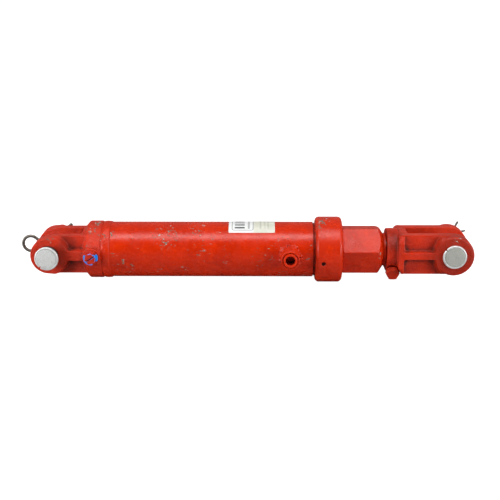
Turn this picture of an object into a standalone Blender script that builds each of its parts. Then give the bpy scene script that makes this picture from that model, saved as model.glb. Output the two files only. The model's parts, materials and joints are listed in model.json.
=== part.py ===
"""Double-acting clevis-mounted hydraulic cylinder, rod fully retracted.

Frame: the origin is the centre of the base clevis pin. +X runs along the barrel to the rod clevis, -Y is
the side of the ports, +Z is up. All lengths are metres.

Every solid starts as a tool (a turned profile, an extruded outline, a block or a wire). Tools are joined
and cut with exact Booleans, and the result becomes a part: one closed solid with its own material.
"""

import math

import bmesh
import bpy
from mathutils import Matrix, Vector

OBJECT_NAME = "clevis_hydraulic_cylinder"

# Driving dimensions ------------------------------------------------------------------------------------
GAP = 0.0003                    # left between two pieces that touch
ROD_GAP = 0.0002                # left between the rod and its seals
ROUND_STEPS = 48                # facets round a large turned piece
SMALL_STEPS = 28                # facets round a small turned piece
INNER_STEPS = 32                # facets round a piece inside the barrel
WELD_DISTANCE = 0.000002

PIN_CENTRES = 0.51435           # base pin to rod pin with the rod home: 20.25 in
STROKE = 0.2032                 # 8 in

# Clevis pins
PIN_RADIUS = 0.0127             # 1 in pin
PIN_BORE_RADIUS = 0.01295
PIN_LENGTH = 0.09525
PIN_CHAMFER = 0.0016
PIN_HOLE_FROM_END = 0.0098      # cross hole near the far end
RING_FROM_END = 0.0019          # snap ring centre from the near end
RING_WIRE_RADIUS = 0.0015
RING_RADIUS = 0.01365           # centre line of the ring's wire
RING_GROOVE_RADIUS = 0.0119
BASE_PIN_NEAR_END = 0.0480      # how far each pin stands out towards -Y of the cylinder's axis
ROD_PIN_NEAR_END = 0.0390
BASE_RING_GAP = 232.0           # where each snap ring's gap is, in degrees from +X towards +Z
ROD_RING_GAP = 140.0
R_CLIP_ANGLE = math.radians(21.0)
R_CLIP_WIRE_RADIUS = 0.0020
R_CLIP_HOLE_RADIUS = 0.0024
SPLIT_PIN_ANGLE = math.radians(39.5)
SPLIT_PIN_WIRE_RADIUS = 0.0014
SPLIT_PIN_HOLE_RADIUS = 0.0031

# Both clevises
CLEVIS_HALF_WIDTH = 0.035
SLOT_HALF_WIDTH = 0.0143
WEB_HALF_WIDTH = 0.0263         # outside of the thin part of each arm

# Base clevis casting
BASE_BOSS_RADIUS = 0.0230
BASE_ARM_HALF_HEIGHT = 0.0245
BASE_POCKET_ARC = (0.0, 0.0262)        # centre along the arm from the pin, radius
BASE_RIB_HALF_HEIGHT = 0.0064
BASE_SLOT_FLOOR = 0.040
SHOULDER_START = 0.0400
SHOULDER_START_RADIUS = 0.0258
SHOULDER_END = 0.0495
BASE_RADIUS = 0.03685
BASE_END = 0.0665
SPIGOT_START = 0.0710
SPIGOT_END = 0.0760
CAVITY_START = 0.0500
CAVITY_RADIUS = 0.0210
BASE_PORT_X = 0.0550
BASE_PORT_FACE = 0.0410
BASE_PORT_BOSS_RADIUS = 0.0113
BASE_PORT_HOLE_RADIUS = 0.0066

# Barrel
BORE_RADIUS = 0.03175           # 2.5 in bore
BARREL_RADIUS = 0.0355
SPIGOT_RADIUS = BORE_RADIUS - GAP
BARREL_START = 0.0731
BARREL_SHOULDER = 0.3362        # where the outside steps down to the thread
BARREL_END = 0.3668
THREAD_RADIUS = 0.0349

# Head port
HEAD_PORT_X = 0.3067
HEAD_PORT_FACE = 0.0555
HEAD_BOSS_RADIUS = 0.01185
HEAD_BOSS_BORE = 0.0096
INSERT_RADIUS = 0.0089
INSERT_BORE = 0.0060

# Gland and its ring
RING_START = 0.3394
RING_END = 0.3733
RING_OUTER_RADIUS = 0.0422
RING_LIP_RADIUS = 0.0253
RING_LIP_START = 0.3701
RING_CHAMFER = 0.0030
SPANNER_X = 0.3490
SPANNER_ANGLE = math.radians(-11.0)
SPANNER_RADIUS = 0.0025
GLAND_START = 0.3045
ROD_BORE_RADIUS = 0.01615
O_RING_GROOVE = (0.3400, 0.3445)        # low end, high end along X
O_RING_GROOVE_RADIUS = 0.0286
O_RING_SECTION = 0.00125
ROD_SEAL_GROOVE = (0.3500, 0.3570)
ROD_SEAL_GROOVE_RADIUS = 0.0200
WIPER_GROOVE = (0.3640, 0.3690)
WIPER_GROOVE_RADIUS = 0.0195
PORT_RELIEF_END = 0.3130                # the gland is slimmer up to here, so oil can pass the port
PORT_RELIEF_RADIUS = 0.0285

# Rod and piston
ROD_RADIUS = 0.015875           # 1.25 in rod
ROD_SHOULDER = 0.1008
ROD_SPIGOT_RADIUS = 0.0105
ROD_SPIGOT_START = 0.0610
ROD_END = 0.4552
PISTON_START = 0.0765
PISTON_END = 0.1005
PISTON_RADIUS = 0.0315
SEAL_RADIUS = 0.0316
PISTON_SEAL_GROOVE = (0.0875, 0.0935)
PISTON_SEAL_GROOVE_RADIUS = 0.0275
WEAR_RING_GROOVE = (0.0790, 0.0840)
WEAR_RING_GROOVE_RADIUS = 0.0290
NUT_START = 0.0630

# Stop nut on the rod
STOP_START = 0.3739
STOP_HEX_END = 0.4270
STOP_END = 0.4299
STOP_ACROSS_FLATS = 0.05715     # 2.25 in
STOP_FACE_ANGLE = math.radians(37.9)
STOP_NECK_RADIUS = 0.0210
STOP_TAPER = 1.50               # how fast the hexagon is turned down to the neck, radius over length
STOP_BORE_RADIUS = 0.0162

# Rod clevis casting
HUB_START = 0.4305
HUB_RADIUS = 0.0276
BLOCK_START = 0.4440
ROD_POCKET_START = 0.4507
ROD_SLOT_FLOOR = 0.4565
ROD_BOSS_RADIUS = 0.0255
ROD_ARM_HALF_HEIGHT = 0.0256
ROD_POCKET_ARC = (-0.0101, 0.0356)
ROD_RIB_HALF_HEIGHT = 0.0045
BOLT_X = 0.4383
BOLT_Z = -0.0250
LUG_HALF_WIDTH = 0.0192
LUG_RADIUS = 0.0067
SPOT_FACE_RADIUS = 0.0110
BOLT_RADIUS = 0.0055
BOLT_ACROSS_FLATS = 0.015875

# Label round the top of the barrel
LABEL_START = 0.2286
LABEL_END = 0.2875
LABEL_LOW_ANGLE = math.radians(51.0)    # both angles are from -Y over the top towards +Y
LABEL_HIGH_ANGLE = math.radians(132.0)
LABEL_THICKNESS = 0.0002

# Finishes: colour, roughness, metallic
RED_PAINT = ((0.55, 0.03, 0.015), 0.35, 0.0)
BRIGHT_RED = ((0.70, 0.05, 0.012), 0.35, 0.0)
BLUE_PLASTIC = ((0.02, 0.26, 0.80), 0.4, 0.0)
LABEL_VINYL = ((0.80, 0.78, 0.70), 0.45, 0.0)
ZINC = ((0.62, 0.63, 0.61), 0.4, 1.0)
CHROME = ((0.75, 0.75, 0.76), 0.12, 1.0)
WIRE_STEEL = ((0.32, 0.29, 0.26), 0.4, 1.0)
STEEL = ((0.45, 0.45, 0.46), 0.4, 1.0)
SEAL_RUBBER = ((0.03, 0.03, 0.03), 0.6, 0.0)
SEAL_PLASTIC = ((0.55, 0.50, 0.40), 0.5, 0.0)

# Directions for a tool's own Z axis
ALONG_X = Matrix.Rotation(math.pi / 2, 4, 'Y')
TO_PORTS = Matrix.Rotation(math.pi / 2, 4, 'X')     # own Z along -Y, own Y along +Z


# Scene and shape helpers -------------------------------------------------------------------------------
def clear_scene():
    """Remove every object of the open file."""
    for item in list(bpy.data.objects):
        bpy.data.objects.remove(item, do_unlink=True)


def new_collection(name):
    """A collection linked into the scene."""
    collection = bpy.data.collections.new(name)
    bpy.context.scene.collection.children.link(collection)
    return collection


def tool(name, data, at=(0.0, 0.0, 0.0), turn=None):
    """An object in the cutters' collection, drawn as wire until it becomes a part."""
    item = bpy.data.objects.new(name, data)
    CUTTERS.objects.link(item)
    item.display_type = 'WIRE'
    item.hide_render = True
    item.matrix_world = Matrix.Translation(at) @ (turn or Matrix.Identity(4))
    return item


def mesh_from(name, form):
    """A mesh made from a bmesh, with its faces pointing out."""
    bmesh.ops.remove_doubles(form, verts=form.verts, dist=WELD_DISTANCE)
    bmesh.ops.recalc_face_normals(form, faces=form.faces)
    mesh = bpy.data.meshes.new(name)
    form.to_mesh(mesh)
    form.free()
    return mesh


def freeze(item):
    """Replace an object's data by its evaluated mesh, in place, with its smallest slivers closed up."""
    bpy.context.view_layer.update()
    evaluated = item.evaluated_get(bpy.context.evaluated_depsgraph_get())
    form = bmesh.new()
    form.from_mesh(bpy.data.meshes.new_from_object(evaluated))
    bmesh.ops.remove_doubles(form, verts=form.verts, dist=WELD_DISTANCE)
    bmesh.ops.dissolve_degenerate(form, edges=form.edges, dist=WELD_DISTANCE)
    mesh = bpy.data.meshes.new(item.name)
    form.to_mesh(mesh)
    form.free()
    item.data = mesh
    item.modifiers.clear()
    return item


def turned(name, profile, at=(0.0, 0.0, 0.0), turn=None, steps=ROUND_STEPS):
    """Solid of revolution about own Z. The profile's (radius, height) points run down the outer side."""
    mesh = bpy.data.meshes.new(name)
    points = [(radius, 0.0, height) for radius, height in profile]
    edges = [(index, index + 1) for index in range(len(points) - 1)]
    if profile[0][0] > 0.0:
        edges.append((len(points) - 1, 0))
    mesh.from_pydata(points, edges, [])
    item = tool(name, mesh, at, turn)
    screw = item.modifiers.new("turn", 'SCREW')
    screw.steps = steps
    screw.render_steps = steps
    screw.use_merge_vertices = True
    screw.merge_threshold = 0.00001
    return freeze(item)


def rod_shape(name, radius, low, high, at=(0.0, 0.0, 0.0), turn=None, steps=SMALL_STEPS):
    """Plain cylinder about own Z from height low to height high."""
    return turned(name, [(0.0, high), (radius, high), (radius, low), (0.0, low)], at, turn, steps)


def block(name, low, high):
    """Box between two corners."""
    form = bmesh.new()
    size = Vector(high) - Vector(low)
    centre = (Vector(high) + Vector(low)) / 2
    bmesh.ops.create_cube(form, size=1.0, matrix=Matrix.Translation(centre) @ Matrix.Diagonal((*size, 1.0)))
    return tool(name, mesh_from(name, form))


def curve_tool(name, points, closed, at, turn):
    """A curve object along straight pieces between the given (x, y) points of its own XY plane."""
    curve = bpy.data.curves.new(name, 'CURVE')
    spline = curve.splines.new('POLY')
    spline.points.add(len(points) - 1)
    for point, (x, y) in zip(spline.points, points):
        point.co = (x, y, 0.0, 1.0)
    spline.use_cyclic_u = closed
    return tool(name, curve, at, turn)


def weld_curve(item):
    """Turn a curve object into a closed mesh object of the same name and place."""
    bpy.context.view_layer.update()
    evaluated = item.evaluated_get(bpy.context.evaluated_depsgraph_get())
    form = bmesh.new()
    form.from_mesh(bpy.data.meshes.new_from_object(evaluated))
    name = item.name
    place = item.matrix_world.copy()
    bpy.data.objects.remove(item)
    return tool(name, mesh_from(name, form), turn=place)


def slab(name, outline, half_thickness, at=(0.0, 0.0, 0.0), turn=TO_PORTS):
    """Flat outline of (x, z) points, extruded to both sides along Y unless turned otherwise."""
    item = curve_tool(name, outline, True, at, turn)
    item.data.dimensions = '2D'
    item.data.fill_mode = 'BOTH'
    item.data.extrude = half_thickness
    return weld_curve(item)


def wire(name, route, radius, at, turn=TO_PORTS):
    """Round wire along a flat route of (x, z) points, with closed ends."""
    item = curve_tool(name, route, False, at, turn)
    item.data.dimensions = '3D'
    item.data.bevel_depth = radius
    item.data.bevel_resolution = 2
    item.data.use_fill_caps = True
    return weld_curve(item)


def combine(body, other, operation):
    """Boolean of two tools; the second one is used up."""
    boolean = body.modifiers.new("boolean", 'BOOLEAN')
    boolean.operation = operation
    boolean.object = other
    freeze(body)
    bpy.data.objects.remove(other)
    return body


def join(body, *others):
    """Union of a tool with others."""
    for other in others:
        combine(body, other, 'UNION')
    return body


def cut(body, *others):
    """A tool less others."""
    for other in others:
        combine(body, other, 'DIFFERENCE')
    return body


def part(name, item, finish):
    """Make a finished tool a part of the object, with its own material."""
    colour, roughness, metallic = finish
    material = bpy.data.materials.new(name)
    material.use_nodes = True
    shader = material.node_tree.nodes["Principled BSDF"]
    shader.inputs["Base Color"].default_value = (*colour, 1.0)
    shader.inputs["Roughness"].default_value = roughness
    shader.inputs["Metallic"].default_value = metallic
    item.name = name
    item.data.materials.clear()
    item.data.materials.append(material)
    item.data.shade_smooth()
    item.data.set_sharp_from_angle(angle=math.radians(35.0))
    item.display_type = 'TEXTURED'
    item.hide_render = False
    CUTTERS.objects.unlink(item)
    PARTS.objects.link(item)
    return item


def carry(name, at, items):
    """Parent a body's parts to an empty on the body's joint, without moving them."""
    empty = bpy.data.objects.new(name, None)
    empty.empty_display_size = 0.02
    empty.location = at
    PARTS.objects.link(empty)
    bpy.context.view_layer.update()
    for item in items:
        item.parent = empty
        item.matrix_parent_inverse = empty.matrix_world.inverted()


def arc(centre, radius, start, stop, count):
    """Points of an arc from one angle to another, in degrees."""
    angles = [math.radians(start + (stop - start) * step / count) for step in range(count + 1)]
    return [(centre[0] + radius * math.cos(angle), centre[1] + radius * math.sin(angle)) for angle in angles]


def hexagon(across_flats, face_angle, centre=(0.0, 0.0)):
    """Corners of a hexagon, one of whose flats faces the given angle."""
    corner = math.degrees(face_angle) + 30.0
    return arc(centre, across_flats / math.sqrt(3.0), corner, corner + 300.0, 5)


def mirrored(outline):
    """The outline below the X axis."""
    return [(x, -z) for x, z in outline]


def pointing(outline, x, direction):
    """An outline drawn for a pin at 0 and an arm along +X, moved to a pin at x and its arm's direction."""
    return [(x + direction * along, z) for along, z in outline]


# Clevis shapes -----------------------------------------------------------------------------------------
def arm_outline(boss_radius, half_height, reach, corner):
    """Side view of a clevis: the round end about the pin, and the arm as far as reach."""
    blend = 0.4 * boss_radius
    upper = [(blend, half_height), (reach - corner, half_height), (reach, half_height - corner)]
    return arc((0.0, 0.0), boss_radius, 270.0, 90.0, 32) + upper + mirrored(upper)[::-1]


def pocket_outline(pocket_arc, rib_half_height, half_height, reach):
    """Upper pocket beside the rib, open at the top: round the boss, then along the arm to reach."""
    centre, radius = pocket_arc
    above = 2.0 * half_height
    start = math.degrees(math.asin(rib_half_height / radius))
    stop = math.degrees(math.asin(1.04 * half_height / radius))
    edge = arc((centre, 0.0), radius, stop, start, 12)
    return edge + [(reach, rib_half_height), (reach, above), (edge[0][0], above)]


def clevis_arms(name, pin_x, direction, boss_radius, half_height, reach, corner, pocket, pocket_reach):
    """Both arms in one, with the four pockets that leave a rib and a thin web."""
    outline = pointing(arm_outline(boss_radius, half_height, reach, corner), pin_x, direction)
    arms = slab(name, outline, CLEVIS_HALF_WIDTH)
    pocket_arc, rib_half_height = pocket
    upper = pointing(pocket_outline(pocket_arc, rib_half_height, half_height, pocket_reach), pin_x, direction)
    half_depth = CLEVIS_HALF_WIDTH - WEB_HALF_WIDTH
    for side in (-1.0, 1.0):
        centre = (0.0, side * (WEB_HALF_WIDTH + half_depth), 0.0)
        cut(arms, slab("pocket", upper, half_depth, centre))
        cut(arms, slab("pocket", mirrored(upper), half_depth, centre))
    return arms


def pin_bore(pin_x):
    """Tool for the bore through both ears."""
    return rod_shape("pin_bore", PIN_BORE_RADIUS, -0.06, 0.06, (pin_x, 0.0, 0.0), TO_PORTS, ROUND_STEPS)


# Barrel and base ---------------------------------------------------------------------------------------
def base_clevis():
    """Cast base: two ears, a conical shoulder, the round end cap, its spigot and the port boss."""
    pocket = (BASE_POCKET_ARC, BASE_RIB_HALF_HEIGHT)
    body = clevis_arms("base_clevis", 0.0, 1.0, BASE_BOSS_RADIUS, BASE_ARM_HALF_HEIGHT,
                       SHOULDER_END + 0.002, 0.001, pocket, BASE_END)
    cap = [(0.0, SPIGOT_END), (SPIGOT_RADIUS, SPIGOT_END), (SPIGOT_RADIUS, SPIGOT_START),
           (BASE_RADIUS, BASE_END), (BASE_RADIUS, SHOULDER_END), (SHOULDER_START_RADIUS, SHOULDER_START),
           (0.0, SHOULDER_START)]
    join(body, turned("cap", cap, turn=ALONG_X))
    port = (BASE_PORT_X, 0.0, 0.0)
    boss = [(0.0, BASE_PORT_FACE), (BASE_PORT_BOSS_RADIUS - 0.0008, BASE_PORT_FACE),
            (BASE_PORT_BOSS_RADIUS, BASE_PORT_FACE - 0.0008), (BASE_PORT_BOSS_RADIUS + 0.0012, 0.030),
            (0.0, 0.030)]
    pad = block("pad", (BASE_PORT_X - 0.006, -0.0385, -0.0088), (BASE_END - 0.0025, -0.030, 0.0088))
    join(body, pad, turned("boss", boss, port, TO_PORTS))
    slot = block("slot", (-0.04, -SLOT_HALF_WIDTH, -0.06), (BASE_SLOT_FLOOR, SLOT_HALF_WIDTH, 0.06))
    cavity = rod_shape("cavity", CAVITY_RADIUS, CAVITY_START, SPIGOT_END + 0.01, turn=ALONG_X)
    hole = rod_shape("hole", BASE_PORT_HOLE_RADIUS, 0.028, 0.06, port, TO_PORTS)
    passage = rod_shape("passage", 0.0038, 0.010, 0.040, port, TO_PORTS)
    cut(body, slot, cavity, hole, passage, pin_bore(0.0))
    return part("base_clevis", body, RED_PAINT)


def barrel_weld():
    """Bead that fills the groove between the end cap and the barrel."""
    bead = [(0.03585, 0.0787), (0.03645, 0.0762), (0.03675, 0.0727), (0.0366, 0.0695), (0.0363, 0.0674),
            (0.0319, 0.0711), (0.0319, 0.0728), (0.03585, 0.0780)]
    return part("barrel_weld", turned("weld", bead, turn=ALONG_X), RED_PAINT)


def barrel_tube():
    """Honed tube, threaded on the outside at its head end, with the head port's hole."""
    groove = 0.0009
    first = BARREL_SHOULDER + 0.0006
    threads = []
    for turn_number in (1, 0):
        low = first + turn_number * 0.0016
        threads += [(THREAD_RADIUS, low + groove), (THREAD_RADIUS - 0.0006, low + groove / 2),
                    (THREAD_RADIUS, low)]
    outside = [(THREAD_RADIUS - 0.001, BARREL_END), (THREAD_RADIUS, BARREL_END - 0.001), *threads,
               (THREAD_RADIUS, BARREL_SHOULDER), (BARREL_RADIUS - 0.0003, BARREL_SHOULDER),
               (BARREL_RADIUS, BARREL_SHOULDER - 0.0003), (BARREL_RADIUS, BARREL_START + 0.0047)]
    inside = [(BORE_RADIUS, BARREL_START), (BORE_RADIUS, BARREL_END)]
    tube = turned("tube", outside + inside, turn=ALONG_X)
    cut(tube, rod_shape("hole", 0.005, 0.025, 0.045, (HEAD_PORT_X, 0.0, 0.0), TO_PORTS))
    return part("barrel_tube", tube, RED_PAINT)


def head_port_boss():
    """Round boss with its weld fillet, sitting on the barrel."""
    face = HEAD_PORT_FACE - 0.002
    profile = [(HEAD_BOSS_RADIUS - 0.0007, face), (HEAD_BOSS_RADIUS, face - 0.0007), (HEAD_BOSS_RADIUS, 0.0440),
               (0.0130, 0.0405), (0.0156, 0.0378), (0.0166, 0.0340), (0.0166, 0.0280), (INSERT_BORE, 0.0280),
               (INSERT_BORE, 0.0395), (HEAD_BOSS_BORE, 0.0395), (HEAD_BOSS_BORE, face)]
    boss = turned("boss", profile, (HEAD_PORT_X, 0.0, 0.0), TO_PORTS, 40)
    cut(boss, rod_shape("barrel", BARREL_RADIUS + GAP, 0.25, 0.35, turn=ALONG_X, steps=ROUND_STEPS))
    return part("head_port_boss", boss, RED_PAINT)


def head_port_insert():
    """Bushing screwed into the head port, open right through."""
    low = 0.0395 + GAP
    profile = [(INSERT_RADIUS - 0.0008, HEAD_PORT_FACE), (INSERT_RADIUS, HEAD_PORT_FACE - 0.0008),
               (INSERT_RADIUS, low), (INSERT_BORE, low), (INSERT_BORE, HEAD_PORT_FACE - 0.0005),
               (INSERT_BORE + 0.0005, HEAD_PORT_FACE)]
    insert = turned("insert", profile, (HEAD_PORT_X, 0.0, 0.0), TO_PORTS, SMALL_STEPS)
    return part("head_port_insert", insert, BRIGHT_RED)


def base_port_plug():
    """Slotted hexagon plug that closes the base port."""
    seat = BASE_PORT_FACE + GAP
    flange_top = seat + 0.0027
    top = flange_top + 0.0050
    shank = BASE_PORT_HOLE_RADIUS - 0.0004
    profile = [(0.0, flange_top), (0.0088, flange_top), (0.0093, flange_top - 0.0005), (0.0093, seat),
               (shank, seat), (shank, 0.0310), (0.0, 0.0310)]
    port = (BASE_PORT_X, 0.0, 0.0)
    plug = turned("plug", profile, port, TO_PORTS, SMALL_STEPS)
    middle = (BASE_PORT_X, -(flange_top - 0.001 + top) / 2, 0.0)
    join(plug, slab("hex", hexagon(0.0127, math.radians(105.0)), (top - flange_top + 0.001) / 2, middle))
    slope = Matrix.Rotation(math.radians(33.0), 4, 'Z')
    slot_outline = [(-0.009, -0.0009), (0.009, -0.0009), (0.009, 0.0009), (-0.009, 0.0009)]
    cut(plug, slab("slot", slot_outline, 0.0024, (BASE_PORT_X, -top, 0.0), TO_PORTS @ slope))
    return part("base_port_plug", plug, BLUE_PLASTIC)


def label():
    """Thin sheet bent over the top of the barrel."""
    mesh = bpy.data.meshes.new("label")
    radius = BARREL_RADIUS + GAP + LABEL_THICKNESS / 2
    mesh.from_pydata([(radius, 0.0, LABEL_END), (radius, 0.0, LABEL_START)], [(0, 1)], [])
    start = 1.5 * math.pi - LABEL_HIGH_ANGLE
    sheet = tool("label", mesh, turn=ALONG_X @ Matrix.Rotation(start, 4, 'Z'))
    screw = sheet.modifiers.new("bend", 'SCREW')
    screw.angle = LABEL_HIGH_ANGLE - LABEL_LOW_ANGLE
    screw.steps = 24
    screw.render_steps = 24
    solidify = sheet.modifiers.new("thickness", 'SOLIDIFY')
    solidify.thickness = LABEL_THICKNESS
    solidify.offset = 0.0
    return part("label", freeze(sheet), LABEL_VINYL)


# Gland -------------------------------------------------------------------------------------------------
def groove(surface_radius, floor_radius, ends):
    """Profile points of a square groove, in the order that its two ends along the axis are given."""
    first, last = ends
    return [(surface_radius, first), (floor_radius, first), (floor_radius, last), (surface_radius, last)]


def gland():
    """Head gland: rod bearing, flange held by the ring, grooves for its seals, relief at the port."""
    nose = RING_END - GAP
    nose_radius = RING_LIP_RADIUS - GAP
    outside = [(nose_radius, nose), (nose_radius, RING_LIP_START - GAP), (THREAD_RADIUS, RING_LIP_START - GAP),
               (THREAD_RADIUS, BARREL_END + GAP), (SPIGOT_RADIUS, BARREL_END + GAP),
               *groove(SPIGOT_RADIUS, O_RING_GROOVE_RADIUS, O_RING_GROOVE[::-1]),
               (SPIGOT_RADIUS, PORT_RELIEF_END + 0.001), (PORT_RELIEF_RADIUS, PORT_RELIEF_END),
               (PORT_RELIEF_RADIUS, GLAND_START)]
    inside = [(ROD_BORE_RADIUS, GLAND_START), *groove(ROD_BORE_RADIUS, ROD_SEAL_GROOVE_RADIUS, ROD_SEAL_GROOVE),
              *groove(ROD_BORE_RADIUS, WIPER_GROOVE_RADIUS, WIPER_GROOVE), (ROD_BORE_RADIUS, nose)]
    profile = outside + inside
    return part("gland", turned("gland", profile, turn=ALONG_X, steps=INNER_STEPS), STEEL)


def gland_ring():
    """Threaded ring that clamps the gland to the barrel, with two spanner holes."""
    inner = THREAD_RADIUS + 0.0004
    profile = [(RING_OUTER_RADIUS - 0.0027, RING_END), (RING_OUTER_RADIUS, RING_END - RING_CHAMFER),
               (RING_OUTER_RADIUS, RING_START + RING_CHAMFER), (RING_OUTER_RADIUS - 0.0027, RING_START),
               (inner, RING_START), (inner, RING_LIP_START), (RING_LIP_RADIUS, RING_LIP_START),
               (RING_LIP_RADIUS, RING_END)]
    ring = turned("ring", profile, turn=ALONG_X)
    for side in (0.0, math.pi):
        towards = Matrix.Rotation(math.pi / 2 - SPANNER_ANGLE + side, 4, 'X')
        cut(ring, rod_shape("hole", SPANNER_RADIUS, 0.0380, 0.0480, (SPANNER_X, 0.0, 0.0), towards, 24))
    return part("gland_ring", ring, RED_PAINT)


def o_ring(name, radius, section, x, finish):
    """Rubber ring of round section about the cylinder's axis."""
    form = bmesh.new()
    bmesh.ops.create_circle(form, cap_ends=False, radius=section, segments=8)
    for vertex in form.verts:
        vertex.co = (radius + vertex.co.x, 0.0, vertex.co.y)
    bmesh.ops.spin(form, geom=form.verts[:] + form.edges[:], cent=(0.0, 0.0, 0.0), axis=(0.0, 0.0, 1.0),
                   angle=2.0 * math.pi, steps=INNER_STEPS, use_merge=True)
    return part(name, tool(name, mesh_from(name, form), (x, 0.0, 0.0), ALONG_X), finish)


def seal_ring(name, inner, outer, groove_ends, finish):
    """Ring that fills a groove but for a small gap, with its outer corners taken off."""
    edge = 0.0004
    low, high = groove_ends[0] + GAP, groove_ends[1] - GAP
    profile = [(outer - edge, high), (outer, high - edge), (outer, low + edge), (outer - edge, low),
               (inner, low), (inner, high)]
    return part(name, turned(name, profile, turn=ALONG_X, steps=INNER_STEPS), finish)


# Rod ---------------------------------------------------------------------------------------------------
def piston_rod():
    """Rod with a spigot for the piston at one end."""
    profile = [(0.0, ROD_END), (ROD_RADIUS - 0.001, ROD_END), (ROD_RADIUS, ROD_END - 0.001),
               (ROD_RADIUS, ROD_SHOULDER), (ROD_SPIGOT_RADIUS, ROD_SHOULDER),
               (ROD_SPIGOT_RADIUS, ROD_SPIGOT_START + 0.001), (ROD_SPIGOT_RADIUS - 0.001, ROD_SPIGOT_START),
               (0.0, ROD_SPIGOT_START)]
    return part("piston_rod", turned("rod", profile, turn=ALONG_X), CHROME)


def piston():
    """Piston with a seal groove and a wear ring groove."""
    profile = [(PISTON_RADIUS - 0.001, PISTON_END), (PISTON_RADIUS, PISTON_END - 0.001),
               *groove(PISTON_RADIUS, PISTON_SEAL_GROOVE_RADIUS, PISTON_SEAL_GROOVE[::-1]),
               *groove(PISTON_RADIUS, WEAR_RING_GROOVE_RADIUS, WEAR_RING_GROOVE[::-1]),
               (PISTON_RADIUS, PISTON_START + 0.001), (PISTON_RADIUS - 0.001, PISTON_START),
               (ROD_SPIGOT_RADIUS + GAP, PISTON_START), (ROD_SPIGOT_RADIUS + GAP, PISTON_END)]
    return part("piston", turned("piston", profile, turn=ALONG_X, steps=INNER_STEPS), STEEL)


def piston_nut():
    """Nut that holds the piston on the rod's spigot."""
    nut_end = PISTON_START - GAP
    middle = ((NUT_START + nut_end) / 2, 0.0, 0.0)
    nut = slab("nut", hexagon(0.0286, 0.0), (nut_end - NUT_START) / 2, middle, ALONG_X)
    cut(nut, rod_shape("hole", ROD_SPIGOT_RADIUS + GAP, 0.05, 0.09, turn=ALONG_X))
    return part("piston_nut", nut, STEEL)


def stop_nut():
    """Long hexagon nut on the rod, chamfered to a round neck at the clevis end."""
    middle = ((STOP_START + STOP_HEX_END) / 2, 0.0, 0.0)
    # Own X of an ALONG_X tool is -Z, own Y is +Y, so an angle from -Y towards +Z becomes 270 deg minus it.
    face = 1.5 * math.pi - STOP_FACE_ANGLE
    nut = slab("nut", hexagon(STOP_ACROSS_FLATS, face), (STOP_HEX_END - STOP_START) / 2, middle, ALONG_X)
    corner = STOP_ACROSS_FLATS / math.sqrt(3.0)
    lens = [(0.0, STOP_HEX_END + 0.001), (STOP_NECK_RADIUS + 0.0005 - STOP_TAPER * 0.001, STOP_HEX_END + 0.001),
            (corner + 0.002, STOP_HEX_END - (corner + 0.0015 - STOP_NECK_RADIUS) / STOP_TAPER),
            (corner + 0.002, STOP_START + 0.0024), (corner - 0.0024, STOP_START - 0.002),
            (0.0, STOP_START - 0.002)]
    combine(nut, turned("lens", lens, turn=ALONG_X), 'INTERSECT')
    neck = rod_shape("neck", STOP_NECK_RADIUS, STOP_HEX_END - 0.003, STOP_END, turn=ALONG_X, steps=ROUND_STEPS)
    join(nut, neck)
    cut(nut, rod_shape("bore", STOP_BORE_RADIUS, 0.36, 0.44, turn=ALONG_X))
    return part("stop_nut", nut, RED_PAINT)


def rod_clevis():
    """Cast rod clevis: split hub with lugs for the pinch bolt, block, and two pocketed arms."""
    pocket = (ROD_POCKET_ARC, ROD_RIB_HALF_HEIGHT)
    body = clevis_arms("rod_clevis", PIN_CENTRES, -1.0, ROD_BOSS_RADIUS, ROD_ARM_HALF_HEIGHT,
                       PIN_CENTRES - BLOCK_START, 0.0025, pocket, PIN_CENTRES - ROD_POCKET_START)
    hub_end = BLOCK_START + 0.0015
    hub = [(0.0, hub_end), (HUB_RADIUS, hub_end), (HUB_RADIUS, HUB_START + 0.0012),
           (HUB_RADIUS - 0.0012, HUB_START), (0.0, HUB_START)]
    lug = arc((BOLT_X, BOLT_Z), LUG_RADIUS, 180.0, 360.0, 16)
    lug += [(BOLT_X + LUG_RADIUS, -0.012), (BOLT_X - LUG_RADIUS, -0.012)]
    join(body, turned("hub", hub, turn=ALONG_X), slab("lug", lug, LUG_HALF_WIDTH + 0.001))
    bolt_axis = (BOLT_X, 0.0, BOLT_Z)
    for side in (-1.0, 1.0):
        low, high = sorted((side * LUG_HALF_WIDTH, side * 0.06))
        cut(body, rod_shape("spot_face", SPOT_FACE_RADIUS, low, high, bolt_axis, TO_PORTS))
    slot = block("slot", (ROD_SLOT_FLOOR, -SLOT_HALF_WIDTH, -0.06), (0.56, SLOT_HALF_WIDTH, 0.06))
    bore = rod_shape("bore", ROD_RADIUS + 0.0004, 0.42, 0.47, turn=ALONG_X)
    bolt_hole = rod_shape("bolt_hole", BOLT_RADIUS + GAP, -0.06, 0.06, bolt_axis, TO_PORTS, 24)
    split = block("split", (0.42, -0.0013, -0.05), (BLOCK_START + 0.0035, 0.0013, -0.005))
    cut(body, slot, bore, bolt_hole, split, pin_bore(PIN_CENTRES))
    return part("rod_clevis", body, RED_PAINT)


def pinch_bolt():
    """Hexagon bolt through the split hub's lugs, head towards -Y."""
    seat = LUG_HALF_WIDTH + GAP
    head_top = seat + 0.0071
    axis = (BOLT_X, 0.0, BOLT_Z)
    corner = BOLT_ACROSS_FLATS / math.sqrt(3.0)
    head = slab("head", hexagon(BOLT_ACROSS_FLATS, math.pi / 2), (head_top - seat) / 2,
                (BOLT_X, -(seat + head_top) / 2, BOLT_Z))
    lens = [(0.0, head_top), (0.0072, head_top), (corner + 0.0004, head_top - 0.0014), (corner + 0.0004, seat),
            (0.0, seat)]
    combine(head, turned("lens", lens, axis, TO_PORTS, 24), 'INTERSECT')
    join(head, rod_shape("shank", BOLT_RADIUS, -0.0330, seat + 0.002, axis, TO_PORTS, 24))
    return part("pinch_bolt", head, RED_PAINT)


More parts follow.
